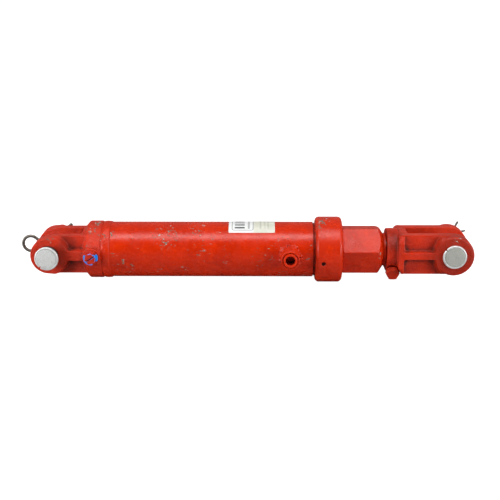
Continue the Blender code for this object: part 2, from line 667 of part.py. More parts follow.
def pinch_nut():
    """Nut of the pinch bolt, on the far side."""
    seat = LUG_HALF_WIDTH + GAP
    nut = slab("nut", hexagon(BOLT_ACROSS_FLATS, math.pi / 2), 0.0045, (BOLT_X, seat + 0.0045, BOLT_Z))
    cut(nut, rod_shape("hole", BOLT_RADIUS + GAP, -0.06, 0.06, (BOLT_X, 0.0, BOLT_Z), TO_PORTS, 24))
    return part("pinch_nut", nut, RED_PAINT)


# Pins and clips ----------------------------------------------------------------------------------------
def clevis_pin(name, pin_x, near_end, hole_radius, hole_angle):
    """Pin with a snap ring groove at the near end and a cross hole at the far end."""
    groove_top = near_end - RING_FROM_END + RING_WIRE_RADIUS + GAP
    groove_low = near_end - RING_FROM_END - RING_WIRE_RADIUS - GAP
    far_end = near_end - PIN_LENGTH
    lip = near_end - groove_top
    profile = [(0.0, near_end), (PIN_RADIUS - lip / 2, near_end), (PIN_RADIUS - lip / 2, groove_top),
               (RING_GROOVE_RADIUS, groove_top), (RING_GROOVE_RADIUS, groove_low), (PIN_RADIUS, groove_low),
               (PIN_RADIUS, far_end + PIN_CHAMFER), (PIN_RADIUS - PIN_CHAMFER, far_end), (0.0, far_end)]
    pin = turned(name, profile, (pin_x, 0.0, 0.0), TO_PORTS)
    across = Matrix.Rotation(math.pi / 2 - hole_angle, 4, 'Y')
    hole_at = (pin_x, PIN_HOLE_FROM_END * -1.0 - far_end, 0.0)
    cut(pin, rod_shape("hole", hole_radius, -0.02, 0.02, hole_at, across, 24))
    return part(name, pin, ZINC)


def snap_ring(name, pin_x, near_end, gap_angle):
    """Round wire ring with a gap, in the pin's groove."""
    half_gap = 6.0
    route = arc((0.0, 0.0), RING_RADIUS, gap_angle + half_gap, gap_angle + 360.0 - half_gap, 32)
    centre = (pin_x, RING_FROM_END - near_end, 0.0)
    return part(name, wire(name, route, RING_WIRE_RADIUS, centre), ZINC)


def clip_route(points, angle):
    """Points given along and across a clip, turned to the angle of its straight leg."""
    along = Vector((math.cos(angle), math.sin(angle)))
    across = Vector((-math.sin(angle), math.cos(angle)))
    return [tuple(along * u + across * n) for u, n in points]


def smooth_through(points, steps):
    """Catmull-Rom curve through points, given as a list of closely spaced points."""
    knots = [Vector(point) for point in points]
    knots = [2 * knots[0] - knots[1], *knots, 2 * knots[-1] - knots[-2]]
    route = []
    for before, here, after, beyond in zip(knots, knots[1:], knots[2:], knots[3:]):
        for step in range(steps):
            t = step / steps
            linear = (after - before) * t
            square = (2 * before - 5 * here + 4 * after - beyond) * t * t
            cube = (3 * here - before - 3 * after + beyond) * t * t * t
            route.append(tuple(here + (linear + square + cube) / 2))
    route.append(tuple(knots[-2]))
    return route


def r_clip():
    """Hairpin: straight leg through the pin, a round loop, and the bent leg that snaps over the pin."""
    loop_radius = 0.0103
    loop_centre = (-0.0366, loop_radius)
    straight = [(0.0205, 0.0), (0.0120, 0.0), (0.0, 0.0), (-0.0120, 0.0), (-0.0250, 0.0)]
    loop = arc(loop_centre, loop_radius, 270.0, 25.0, 20)
    hump = [(-0.0256, 0.0119), (-0.0215, 0.0104), (-0.0155, 0.0112), (-0.0090, 0.0140), (0.0, 0.0159),
            (0.0110, 0.0133), (0.0170, 0.0128), (0.0250, 0.0152)]
    bent = smooth_through([loop[-1], *hump], 3)
    route = clip_route(straight + loop + bent[1:], R_CLIP_ANGLE)
    y = PIN_LENGTH - PIN_HOLE_FROM_END - BASE_PIN_NEAR_END
    return part("base_r_clip", wire("clip", route, R_CLIP_WIRE_RADIUS, (0.0, y, 0.0)), WIRE_STEEL)


def split_pin():
    """Cotter: an eye on one side of the pin, two legs side by side through it, spread beyond it."""
    side = SPLIT_PIN_WIRE_RADIUS + GAP / 2
    eye = arc((-0.0190, 0.0), 0.0032, 50.0, 310.0, 14)
    upper = [(0.0290, 0.0078), (0.0230, 0.0052), (0.0172, 0.0026), (0.0145, side), (0.0, side), (-0.0145, side)]
    lower = [(u, -n) for u, n in upper[::-1]]
    route = clip_route(upper + eye + lower, SPLIT_PIN_ANGLE)
    y = PIN_LENGTH - PIN_HOLE_FROM_END - ROD_PIN_NEAR_END
    return part("rod_split_pin", wire("cotter", route, SPLIT_PIN_WIRE_RADIUS, (PIN_CENTRES, y, 0.0)), WIRE_STEEL)


clear_scene()
PARTS = new_collection(OBJECT_NAME)
CUTTERS = new_collection("cutters")

# Root body: everything fixed to the barrel
base_clevis()
barrel_weld()
barrel_tube()
head_port_boss()
head_port_insert()
base_port_plug()
label()
gland()
gland_ring()
o_ring("gland_o_ring", O_RING_GROOVE_RADIUS + GAP + O_RING_SECTION, O_RING_SECTION, sum(O_RING_GROOVE) / 2,
       SEAL_RUBBER)
seal_ring("rod_seal", ROD_RADIUS + ROD_GAP, ROD_SEAL_GROOVE_RADIUS - GAP, ROD_SEAL_GROOVE, SEAL_RUBBER)
seal_ring("rod_wiper", ROD_RADIUS + ROD_GAP, WIPER_GROOVE_RADIUS - GAP, WIPER_GROOVE, SEAL_RUBBER)

# The piston's rings slide along the barrel and let the rod turn in them
piston_rings = [
    seal_ring("piston_seal", PISTON_SEAL_GROOVE_RADIUS + GAP, SEAL_RADIUS, PISTON_SEAL_GROOVE, SEAL_PLASTIC),
    seal_ring("piston_wear_ring", WEAR_RING_GROOVE_RADIUS + GAP, SEAL_RADIUS, WEAR_RING_GROOVE, SEAL_PLASTIC),
]
carry("rod_slide_axis", (PISTON_START, 0.0, 0.0), piston_rings)
rod_parts = [piston_rod(), piston(), piston_nut(), rod_clevis(), pinch_bolt(), pinch_nut()]
carry("rod_turn_axis", (PISTON_END, 0.0, 0.0), rod_parts)
carry("stop_nut_axis", (STOP_START, 0.0, 0.0), [stop_nut()])

base_ring = snap_ring("base_snap_ring", 0.0, BASE_PIN_NEAR_END, BASE_RING_GAP)
base_pin = clevis_pin("base_pin", 0.0, BASE_PIN_NEAR_END, R_CLIP_HOLE_RADIUS, R_CLIP_ANGLE)
carry("base_pin_axis", (0.0, 0.0, 0.0), [base_ring, base_pin, r_clip()])
rod_ring = snap_ring("rod_snap_ring", PIN_CENTRES, ROD_PIN_NEAR_END, ROD_RING_GAP)
rod_pin = clevis_pin("rod_pin", PIN_CENTRES, ROD_PIN_NEAR_END, SPLIT_PIN_HOLE_RADIUS, SPLIT_PIN_ANGLE)
carry("rod_pin_axis", (PIN_CENTRES, 0.0, 0.0), [rod_ring, rod_pin, split_pin()])
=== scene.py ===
"""Looks of a clevis-mounted hydraulic cylinder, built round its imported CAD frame.

Metres throughout, in the frame's own axes: the origin is the centre of the base pin, +X runs along the
barrel to the rod clevis, -Y is the side of the ports and +Z is up.

Castings and hexagons are solids given as signed distance functions of x, y, z (negative inside) and turned
into meshes. Round pieces are turned from an outline, and wires are tubes along a route.
"""

import json
import math

import bmesh
import bpy
import numpy as np
from mathutils import Matrix, Vector


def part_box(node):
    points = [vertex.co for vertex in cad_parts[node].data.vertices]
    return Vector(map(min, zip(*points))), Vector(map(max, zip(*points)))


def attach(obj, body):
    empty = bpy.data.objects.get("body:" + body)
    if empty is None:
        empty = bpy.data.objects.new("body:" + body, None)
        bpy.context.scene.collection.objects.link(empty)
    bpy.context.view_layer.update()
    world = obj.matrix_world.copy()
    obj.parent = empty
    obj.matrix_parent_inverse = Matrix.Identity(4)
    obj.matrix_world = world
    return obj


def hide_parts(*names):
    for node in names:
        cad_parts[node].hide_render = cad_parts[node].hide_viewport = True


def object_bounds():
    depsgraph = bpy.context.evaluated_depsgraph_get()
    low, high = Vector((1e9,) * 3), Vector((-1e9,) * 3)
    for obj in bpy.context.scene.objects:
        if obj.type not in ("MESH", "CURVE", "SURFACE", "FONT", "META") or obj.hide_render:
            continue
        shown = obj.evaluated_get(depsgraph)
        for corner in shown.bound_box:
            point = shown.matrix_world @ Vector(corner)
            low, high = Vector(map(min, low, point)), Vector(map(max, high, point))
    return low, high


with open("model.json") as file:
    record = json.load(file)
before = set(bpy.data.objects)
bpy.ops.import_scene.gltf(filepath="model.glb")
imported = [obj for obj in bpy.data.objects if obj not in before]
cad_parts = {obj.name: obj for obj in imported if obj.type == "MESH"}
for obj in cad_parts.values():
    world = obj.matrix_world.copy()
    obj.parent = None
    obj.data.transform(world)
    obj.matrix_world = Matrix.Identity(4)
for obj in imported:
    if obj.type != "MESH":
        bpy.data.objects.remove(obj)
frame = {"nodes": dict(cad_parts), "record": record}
cad_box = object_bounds()

BODY_OF = {node: body for body, nodes in frame["record"]["behaviour"]["bodies"].items() for node in nodes}


def box(node):
    """Lowest and highest corners of a CAD node as two plain arrays."""
    low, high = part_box(node)
    return np.array(low), np.array(high)


# Sizes taken from the frame ------------------------------------------------------------------------------
BASE_LOW, BASE_HIGH = box("base_clevis")
CLEVIS_LOW, CLEVIS_HIGH = box("rod_clevis")
BARREL_LOW, BARREL_HIGH = box("barrel_tube")
RING_LOW, RING_HIGH = box("gland_ring")
NUT_LOW, NUT_HIGH = box("stop_nut")
LABEL_LOW, LABEL_HIGH = box("label")
BOSS_LOW, BOSS_HIGH = box("head_port_boss")
INSERT_LOW, INSERT_HIGH = box("head_port_insert")
PLUG_LOW, PLUG_HIGH = box("base_port_plug")
BOLT_LOW, BOLT_HIGH = box("pinch_bolt")
BOLT_NUT_LOW, BOLT_NUT_HIGH = box("pinch_nut")
BASE_PIN_LOW, BASE_PIN_HIGH = box("base_pin")
ROD_PIN_LOW, ROD_PIN_HIGH = box("rod_pin")
ROD_LOW, ROD_HIGH = box("piston_rod")

PIN_CENTRES = (ROD_PIN_LOW[0] + ROD_PIN_HIGH[0]) / 2
PIN_RADIUS = BASE_PIN_HIGH[2]
HALF_WIDTH = CLEVIS_HIGH[1]              # of both clevises
BASE_BOSS_RADIUS = -BASE_LOW[0]
BASE_RADIUS = BASE_HIGH[2]
BASE_PORT_FACE = -BASE_LOW[1]
BARREL_RADIUS = BARREL_HIGH[2]
RING_RADIUS = RING_HIGH[2]
ROD_BOSS_RADIUS = CLEVIS_HIGH[0] - PIN_CENTRES
ROD_RADIUS = ROD_HIGH[2]
HEAD_PORT_X = (BOSS_LOW[0] + BOSS_HIGH[0]) / 2
BASE_PORT_X = (PLUG_LOW[0] + PLUG_HIGH[0]) / 2
BOLT_X = (BOLT_LOW[0] + BOLT_HIGH[0]) / 2
BOLT_Z = (BOLT_LOW[2] + BOLT_HIGH[2]) / 2
BOLT_FLATS = BOLT_HIGH[2] - BOLT_LOW[2]

# Sizes inside the castings, as in the CAD ----------------------------------------------------------------
EDGE = 0.0008                   # radius of a cast edge
SLOT_HALF_WIDTH = 0.0143
WEB_HALF_WIDTH = 0.0263
PIN_BORE_RADIUS = PIN_RADIUS + 0.00025
BASE_ARM_HALF_HEIGHT = 0.0245
BASE_POCKET_RADIUS = 0.0246
BASE_RIB_HALF_HEIGHT = 0.0062
BASE_SLOT_FLOOR = 0.0400
SHOULDER_START = 0.0400
SHOULDER_START_RADIUS = 0.0258
SHOULDER_END = 0.0495
BASE_END = 0.0665
SPIGOT_RADIUS = 0.03145
PORT_BOSS_RADIUS = 0.0113
PORT_HOLE_RADIUS = 0.0066
PLUG_FLATS = 0.0127
PLUG_FLANGE_RADIUS = 0.0093
PLUG_FLANGE_HEIGHT = 0.0027
BARREL_SHOULDER = 0.3362
THREAD_RADIUS = 0.0349
BORE_RADIUS = 0.03175
HEAD_BOSS_RADIUS = 0.01185
HEAD_BOSS_BORE = 0.0096
HEAD_WELD_RADIUS = 0.0164
INSERT_BORE = 0.0060
RING_LIP_START = 0.3701
RING_LIP_RADIUS = 0.0253
SPANNER_X = 0.3490
SPANNER_ANGLE = math.radians(-11.0)
SPANNER_RADIUS = 0.0027
SPANNER_FLOOR = 0.0392
STOP_FLATS = 0.05715
STOP_FACE_ANGLE = math.radians(37.9)
STOP_HEX_END = 0.4270
STOP_NECK_RADIUS = 0.0210
STOP_TAPER = 1.50
HUB_RADIUS = 0.0276
BLOCK_START = 0.4440
ROD_SLOT_FLOOR = 0.4565
ROD_ARM_HALF_HEIGHT = 0.0256
ROD_POCKET_CENTRE = -0.0101
ROD_POCKET_RADIUS = 0.0342
ROD_POCKET_START = 0.4507
ROD_RIB_HALF_HEIGHT = 0.0044
SPLIT_HALF_WIDTH = 0.0013
LUG_HALF_WIDTH = 0.0192
LUG_RADIUS = 0.0067
SPOT_FACE_RADIUS = 0.0097
BOLT_RADIUS = 0.0055
BOLT_HOLE_RADIUS = 0.0058
BOLT_HEAD_HEIGHT = 0.0071
ROD_SPIGOT_RADIUS = 0.0105
ROD_SHOULDER = 0.1008
RING_WIRE_RADIUS = 0.0015
RING_WIRE_CENTRE = 0.01365
RING_FROM_END = 0.0019
RING_GROOVE_RADIUS = 0.0119
BASE_RING_GAP = 232.0           # where each snap ring's gap is, in degrees
ROD_RING_GAP = 140.0
PIN_HOLE_FROM_END = 0.0098
R_CLIP_HOLE_RADIUS = 0.0024
SPLIT_PIN_HOLE_RADIUS = 0.0031
R_CLIP_ANGLE = math.radians(21.0)
SPLIT_PIN_ANGLE = math.radians(39.5)
LABEL_FRONT_ANGLE = math.radians(51.0)
LABEL_BACK_ANGLE = math.radians(132.0)

# Signed distance tools -----------------------------------------------------------------------------------


def both(a, b, edge=0.0):
    """What two solids share, with the new edge rounded to a radius."""
    if edge == 0.0:
        return np.maximum(a, b)
    round_part = np.hypot(np.maximum(edge + a, 0.0), np.maximum(edge + b, 0.0))
    return np.minimum(-edge, np.maximum(a, b)) + round_part


def either(a, b, fillet=0.0):
    """Two solids joined, with a fillet of a radius in the corner between them."""
    return -both(-a, -b, fillet)


def without(a, b, edge=0.0):
    """The first solid with the second cut out of it."""
    return both(a, -b, edge)


def between(value, low, high):
    """Slab between two values of one coordinate."""
    return np.abs(value - (low + high) / 2) - (high - low) / 2


def hexagonal(u, v, flats, face_angle):
    """Hexagon across flats, one face looking along the angle, with slightly rounded corners."""
    sides = None
    for turn in range(3):
        angle = face_angle + turn * math.pi / 3
        side = np.abs(u * math.cos(angle) + v * math.sin(angle)) - flats / 2
        sides = side if sides is None else both(sides, side, 0.0006)
    return sides


def surface_cells(field):
    """Cells that the surface passes through, and a grid of their numbers."""
    inside = field < 0.0
    size = np.array(field.shape) - 1
    count = np.zeros(size, np.int8)
    for corner in np.ndindex(2, 2, 2):
        count += inside[tuple(slice(c, c + n) for c, n in zip(corner, size))]
    cells = np.argwhere((count > 0) & (count < 8))
    number = np.full(size, -1)
    number[tuple(cells.T)] = np.arange(len(cells))
    return cells, number


def surface_points(field, cells):
    """One point for each cell: the mean of where its edges cross the surface, in grid units."""
    total = np.zeros((len(cells), 3))
    crossings = np.zeros(len(cells))
    for axis in range(3):
        unit = np.eye(3, dtype=int)[axis]
        for corner in np.ndindex(2, 2, 2):
            if corner[axis]:
                continue
            start = cells + corner
            first = field[tuple(start.T)]
            second = field[tuple((start + unit).T)]
            hit = (first < 0.0) != (second < 0.0)
            points = start[hit].astype(float)
            points[:, axis] += first[hit] / (first[hit] - second[hit])
            total[hit] += points
            crossings += hit
    return total / crossings[:, None]


def surface_quads(field, number):
    """One face for each grid edge that crosses the surface, joining the four cells round it."""
    inside = field < 0.0
    quads = []
    for axis in range(3):
        across, up = (axis + 1) % 3, (axis + 2) % 3
        last = field.shape[axis]
        edges = np.argwhere(np.take(inside, range(last - 1), axis) != np.take(inside, range(1, last), axis))
        ring = []
        for step_across, step_up in ((0, 0), (1, 0), (1, 1), (0, 1)):
            cell = edges.copy()
            cell[:, across] -= step_across
            cell[:, up] -= step_up
            ring.append(number[tuple(cell.T)])
        faces = np.stack(ring, 1)
        backward = ~inside[tuple(edges.T)]
        faces[backward] = faces[backward][:, ::-1]
        quads.append(faces)
    return np.concatenate(quads)


def settled(points, solid, cell):
    """Points moved along the solid's gradient on to its exact surface."""
    step = cell / 8
    for _ in range(2):
        slopes = [(solid(*(points + step * unit).T) - solid(*(points - step * unit).T)) / (2 * step)
                  for unit in np.eye(3)]
        gradient = np.stack(slopes, 1)
        length = np.maximum((gradient ** 2).sum(1), 0.25)
        move = np.clip(solid(*points.T) / length, -cell / 2, cell / 2)
        points = points - gradient * move[:, None]
    return points


def carved(name, solid, low, high, cell=0.0005, keep=0.3):
    """Closed mesh of a signed distance solid that lies between two corners."""
    axes = [np.arange(a - 2 * cell, b + 3 * cell, cell) for a, b in zip(low, high)]
    field = solid(*np.meshgrid(*axes, indexing="ij", sparse=True))
    cells, number = surface_cells(field)
    origin = np.array([axis[0] for axis in axes])
    points = settled(origin + cell * surface_points(field, cells), solid, cell)
    piece = mesh_piece(name, points, surface_quads(field, number))
    decimate = piece.modifiers.new("fewer faces", 'DECIMATE')
    decimate.ratio = keep
    return finished_mesh(piece)


# Mesh tools ----------------------------------------------------------------------------------------------


def mesh_piece(name, points, faces):
    """New object from points and faces, smooth shaded, its faces looking outwards."""
    mesh = bpy.data.meshes.new(name)
    mesh.from_pydata(np.asarray(points).tolist(), [], [list(map(int, face)) for face in faces])
    form = bmesh.new()
    form.from_mesh(mesh)
    bmesh.ops.recalc_face_normals(form, faces=form.faces[:])
    form.to_mesh(mesh)
    form.free()
    mesh.shade_smooth()
    piece = bpy.data.objects.new(name, mesh)
    bpy.context.scene.collection.objects.link(piece)
    return piece


def finished_mesh(piece):
    """Applies the modifiers, with normals weighted by face area so that flats stay flat."""
    weighted = piece.modifiers.new("flat faces", 'WEIGHTED_NORMAL')
    weighted.weight = 100
    evaluated = piece.evaluated_get(bpy.context.evaluated_depsgraph_get())
    mesh = bpy.data.meshes.new_from_object(evaluated)
    piece.modifiers.clear()
    piece.data = mesh
    return piece


def rounded(corners, steps=5):
    """Closed outline through (along, radius, corner radius) points, with its corners rounded."""
    outline = []
    for index, (along, out, corner_radius) in enumerate(corners):
        here = np.array((along, out))
        if corner_radius == 0.0:
            outline.append(here)
            continue
        back = np.array(corners[index - 1][:2]) - here
        ahead = np.array(corners[(index + 1) % len(corners)][:2]) - here
        back_length, ahead_length = np.linalg.norm(back), np.linalg.norm(ahead)
        back, ahead = back / back_length, ahead / ahead_length
        half_angle = math.acos(max(-1.0, min(1.0, float(back @ ahead)))) / 2
        reach = min(corner_radius / math.tan(half_angle), 0.45 * min(back_length, ahead_length))
        for t in np.linspace(0.0, 1.0, steps + 1):
            outline.append(here + back * reach * (1 - t) ** 2 + ahead * reach * t * t)
    return outline


ALONG_X = np.eye(3)                                                      # rows: along, and two across
TO_PORTS = np.array(((0.0, -1.0, 0.0), (1.0, 0.0, 0.0), (0.0, 0.0, 1.0)))


def turned(name, outline, axes=ALONG_X, centre=(0.0, 0.0, 0.0), steps=160, relief=None):
    """Turned piece from a closed outline of (along, radius) points. relief(along, angles) lifts the surface."""
    angles = np.linspace(0.0, 2 * math.pi, steps, endpoint=False)
    points, rings = [], []
    for along, out in outline:
        if out < 1e-6:
            rings.append([len(points)] * steps)
            points.append(np.array(centre) + along * axes[0])
            continue
        radii = out + (relief(along, angles) if relief else np.zeros(steps))
        rings.append(list(range(len(points), len(points) + steps)))
        for angle, radius in zip(angles, radii):
            sideways = math.cos(angle) * axes[1] + math.sin(angle) * axes[2]
            points.append(np.array(centre) + along * axes[0] + radius * sideways)
    faces = []
    for first, second in zip(rings, rings[1:] + rings[:1]):
        for here in range(steps):
            there = (here + 1) % steps
            face = list(dict.fromkeys((first[here], first[there], second[there], second[here])))
            if len(face) > 2:
                faces.append(face)
    return mesh_piece(name, points, faces)


def bored(piece, *drills):
    """Cuts other pieces out of a piece and removes them."""
    for drill in drills:
        modifier = piece.modifiers.new("hole", 'BOOLEAN')
        modifier.operation = 'DIFFERENCE'
        modifier.object = drill
    piece = finished_mesh(piece)
    for drill in drills:
        bpy.data.objects.remove(drill)
    return piece


def tube(name, route, y, radius, sides=20):
    """Round wire with domed ends along a route of (x, z) points in the plane y."""
    route = np.array(route)
    tangents = np.gradient(route, axis=0)
    tangents /= np.linalg.norm(tangents, axis=1)[:, None]
    stations = [(point, tangent, radius) for point, tangent in zip(route, tangents)]
    for end, sign in ((0, -1.0), (-1, 1.0)):
        dome = [(route[end] + sign * tangents[end] * radius * 0.6 * math.sin(t), tangents[end],
                 radius * math.cos(t)) for t in (0.5, 0.9, 1.25, 1.5)]
        stations = dome[::-1] + stations if end == 0 else stations + dome
    points, faces = [], []
    for centre, tangent, size in stations:
        for angle in np.linspace(0.0, 2 * math.pi, sides, endpoint=False):
            out, across = size * math.cos(angle), size * math.sin(angle)
            points.append((centre[0] - tangent[1] * out, y + across, centre[1] + tangent[0] * out))
    for ring in range(len(stations) - 1):
        for here in range(sides):
            there = (here + 1) % sides
            a, b = ring * sides, (ring + 1) * sides
            faces.append((a + here, a + there, b + there, b + here))
    faces += [range(sides), range(len(points) - sides, len(points))]
    return mesh_piece(name, points, faces)


def show(piece, node, finish):
    """Shows a piece in place of a CAD node, on the body that the node rides on."""
    piece.data.materials.clear()
    piece.data.materials.append(finish)
    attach(piece, BODY_OF[node])
    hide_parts(node)


# Finishes ------------------------------------------------------------------------------------------------
RED = (0.640, 0.0240, 0.0008)
RED_DEEP = (0.540, 0.0190, 0.0010)
RED_LIGHT = (0.690, 0.0320, 0.0020)
PRIMER = (0.150, 0.165, 0.125)           # grey-green undercoat that shows in the chips
PALE_METAL = (0.520, 0.540, 0.480)
# near-black brown of the painted shade in the paint's corners and pockets
CORNER_SHADE_COLOUR = (0.030, 0.012, 0.008)
# near black of the grease and painted shade on the base pin's shank
GREASE_AND_SHADE = (0.012, 0.010, 0.009)
BLUE = (0.0005, 0.290, 0.900)


class Finish:
    """One procedural material, with short names for the nodes that the finishes share."""

    def __init__(self, name, **settings):
        self.material = bpy.data.materials.new(name)
        self.material.use_nodes = True
        self.tree = self.material.node_tree
        self.shader = self.tree.nodes["Principled BSDF"]
        self.place = self.node("ShaderNodeTexCoord").outputs["Object"]
        for socket, value in settings.items():
            self.feed(self.shader.inputs[socket.replace("_", " ")], value)

    def node(self, kind, inputs=(), **settings):
        made = self.tree.nodes.new(kind)
        for name, value in settings.items():
            setattr(made, name, value)
        for name, value in dict(inputs).items():
            self.feed(made.inputs[name], value)
        return made

    def feed(self, socket, value):
        if isinstance(value, bpy.types.NodeSocket):
            self.tree.links.new(value, socket)
        elif isinstance(value, tuple) and len(socket.default_value) == 4:
            socket.default_value = (*value, 1.0)
        else:
            socket.default_value = value

    def math(self, operation, a, b=0.0):
        return self.node("ShaderNodeMath", {0: a, 1: b}, operation=operation).outputs[0]

    def noise(self, size, detail=3.0, stretch=(1.0, 1.0, 1.0), roughness=0.55):
        """Noise from 0 to 1 whose features are about size metres across."""
        vector = self.node("ShaderNodeVectorMath", {0: self.place, 1: stretch}, operation='MULTIPLY').outputs[0]
        inputs = {"Vector": vector, "Scale": 1.0 / size, "Detail": detail, "Roughness": roughness}
        return self.node("ShaderNodeTexNoise", inputs).outputs[0]

    def ramp(self, value, low, high, start=0.0, stop=1.0):
        inputs = {"Value": value, "From Min": low, "From Max": high, "To Min": start, "To Max": stop}
        return self.node("ShaderNodeMapRange", inputs, interpolation_type='SMOOTHSTEP').outputs[0]

    def band(self, value, low, high, soft=0.0002):
        """1 between two values and 0 outside them."""
        rise = self.ramp(value, low - soft, low + soft)
        return self.math('MULTIPLY', rise, self.ramp(value, high - soft, high + soft, 1.0, 0.0))

    def mix(self, factor, first, second):
        inputs = {0: factor, 6: first, 7: second}
        return self.node("ShaderNodeMix", inputs, data_type='RGBA').outputs[2]

    def spot(self, centre, radius):
        """1 near a point, fading to 0 at a radius."""
        inputs = {0: self.place, 1: centre}
        distance = self.node("ShaderNodeVectorMath", inputs, operation='DISTANCE').outputs[1]
        return self.ramp(distance, radius * 0.45, radius, 1.0, 0.0)

    def crowding(self, distance, inside=False):
        """Ambient occlusion within the piece itself; inside=True finds its outer edges."""
        made = self.node("ShaderNodeAmbientOcclusion", {"Distance": distance}, inside=inside, only_local=True,
                         samples=6)
        return made.outputs["AO"]

    def bump(self, *layers):
        """Stacks (height, distance) layers of bump on the shader's normal."""
        normal = None
        for height, distance in layers:
            inputs = {"Height": height, "Distance": distance}
            if normal is not None:
                inputs["Normal"] = normal
            normal = self.node("ShaderNodeBump", inputs).outputs[0]
        self.feed(self.shader.inputs["Normal"], normal)


def red_paint(name, cast=0.0, worn=(), scuffs=0.0, tone=1.0, shaded_spots=()):
    """Gloss enamel over grey-green undercoat, with painted shade in its corners. cast roughens it; worn lists
    (centre, radius) places that are chipped, and the last argument lists places darkened as painted shade."""
    paint = Finish(name, IOR=1.42)
    broad = paint.noise(0.030, 3.0)
    blotches = paint.noise(0.006, 4.0)
    red = tuple(channel * tone for channel in RED)
    colour = paint.mix(paint.ramp(broad, 0.35, 0.65), tuple(channel * tone for channel in RED_DEEP), red)
    colour = paint.mix(paint.ramp(blotches, 0.50, 0.75), colour, RED_LIGHT)

    # Painted shade: each listed spot is darkened towards 0.42 of the red, broken up by noise
    for centre, radius in shaded_spots:
        spot_shade = paint.math('MULTIPLY', paint.spot(centre, radius), paint.ramp(blotches, 0.2, 0.6, 0.45, 0.75))
        colour = paint.mix(spot_shade, colour, tuple(channel * 0.42 for channel in RED))
    # Painted shade: ambient occlusion within the piece darkens its corners and pockets towards a near-black
    # brown, broken up by noise; the same mask roughens the paint
    corners = paint.ramp(paint.crowding(0.0090), 0.88, 0.55)
    corner_shade = paint.math('MULTIPLY', corners, paint.ramp(paint.noise(0.004, 5.0), 0.35, 0.60, 0.45, 1.0))
    colour = paint.mix(corner_shade, colour, CORNER_SHADE_COLOUR)

    wear = paint.ramp(paint.crowding(0.0012, inside=True), 0.75, 0.45, 0.0, 0.10)
    for centre, radius in worn:
        wear = paint.math('ADD', wear, paint.math('MULTIPLY', paint.spot(centre, radius), 0.16))
    if scuffs:
        streaks = paint.noise(0.0016, 4.0, (0.28, 1.0, 1.0), 0.65)
        patchy = paint.ramp(paint.noise(0.022, 3.0), 0.46, 0.64, 0.0, scuffs)
        streak_chips = paint.ramp(paint.math('ADD', streaks, patchy), 0.735, 0.755)
    flecks = paint.noise(0.0030, 6.0, roughness=0.68)
    chips = paint.ramp(paint.math('ADD', flecks, wear), 0.735, 0.750)
    if scuffs:
        chips = paint.math('MAXIMUM', chips, streak_chips)
    undercoat = paint.mix(paint.ramp(paint.noise(0.0045, 2.0), 0.52, 0.62), PRIMER, PALE_METAL)
    colour = paint.mix(chips, colour, undercoat)

    peel = paint.noise(0.0016, 2.0)
    gloss = paint.ramp(paint.noise(0.010, 4.0), 0.30, 0.70, 0.22 + 0.10 * cast, 0.34 + 0.12 * cast)
    gloss = paint.math('ADD', gloss, paint.math('MULTIPLY', paint.math('MAXIMUM', chips, corner_shade), 0.30))
    paint.feed(paint.shader.inputs["Base Color"], colour)
    paint.feed(paint.shader.inputs["Roughness"], gloss)
    layers = [(peel, 0.00008 + 0.00022 * cast), (paint.noise(0.012, 2.0), 0.00030), (chips, -0.00012)]
    if cast:
        layers += [(paint.noise(0.0026, 5.0, roughness=0.62), 0.00085 * cast),
                   (paint.noise(0.0013, 3.0), 0.00035 * cast)]
    paint.bump(*layers)
    return paint.material


def bare_metal(name, colour, dark, metallic=0.9, roughness=0.42, speckle=0.0009, shade_and_grease=None):
    """Plated or bright steel: fine speckle, faint stains, tiny pits, and old grease and painted shade between
    two Y.
    """
    metal = Finish(name, Metallic=metallic)
    grain = metal.ramp(metal.noise(speckle, 4.0, roughness=0.7), 0.40, 0.68)
    stains = metal.ramp(metal.noise(0.0060, 4.0), 0.45, 0.75)
    shade = metal.mix(metal.math('MULTIPLY', grain, 0.55), colour, dark)
    shade = metal.mix(metal.math('MULTIPLY', stains, 0.40), shade, dark)
    # Painted shade and grease: the shank between the two Y, beyond the snap ring, is painted near black
    if shade_and_grease:
        along = metal.node("ShaderNodeSeparateXYZ", {0: metal.place}).outputs[1]
        shade_and_grease_band = metal.math('MULTIPLY', metal.band(along, *shade_and_grease), 0.93)
        shade = metal.mix(shade_and_grease_band, shade, GREASE_AND_SHADE)
    metal.feed(metal.shader.inputs["Base Color"], shade)
    gloss = metal.ramp(grain, 0.0, 1.0, roughness - 0.06, roughness + 0.12)
    metal.feed(metal.shader.inputs["Roughness"], gloss)
    metal.bump((grain, -0.00006), (metal.noise(0.0035, 3.0), 0.00015))
    return metal.material


def plug_blue():
    """Blue plastic, sprayed over in red on the faces that looked at the spray gun."""
    plug = Finish("plug_blue", IOR=1.46)
    normal = plug.node("ShaderNodeNewGeometry").outputs["Normal"]
    facing = plug.node("ShaderNodeSeparateXYZ", {0: normal}).outputs[1]
    sprayed = plug.ramp(facing, -0.97, -0.80, 1.0, 0.0)
    port_axis = (BASE_PORT_X, 0.0, 0.0)
    without_y = {0: plug.place, 1: (1.0, 0.0, 1.0)}
    flat = plug.node("ShaderNodeVectorMath", without_y, operation='MULTIPLY').outputs[0]
    from_port = plug.node("ShaderNodeVectorMath", {0: flat, 1: port_axis}, operation='DISTANCE').outputs[1]
    head_face = plug.ramp(from_port, 0.0068, 0.0072, 1.0, 0.0)
    patches = plug.ramp(plug.noise(0.0080, 1.0), 0.53, 0.56)
    cover = plug.math('MAXIMUM', plug.math('MULTIPLY', sprayed, head_face), patches)
    colour = plug.mix(cover, BLUE, tuple(0.8 * channel for channel in RED))
    plug.feed(plug.shader.inputs["Base Color"], colour)
    plug.feed(plug.shader.inputs["Roughness"], plug.ramp(patches, 0.0, 1.0, 0.30, 0.50))
    plug.bump((patches, 0.00006), (plug.noise(0.0015, 2.0), 0.00005))
    return plug.material


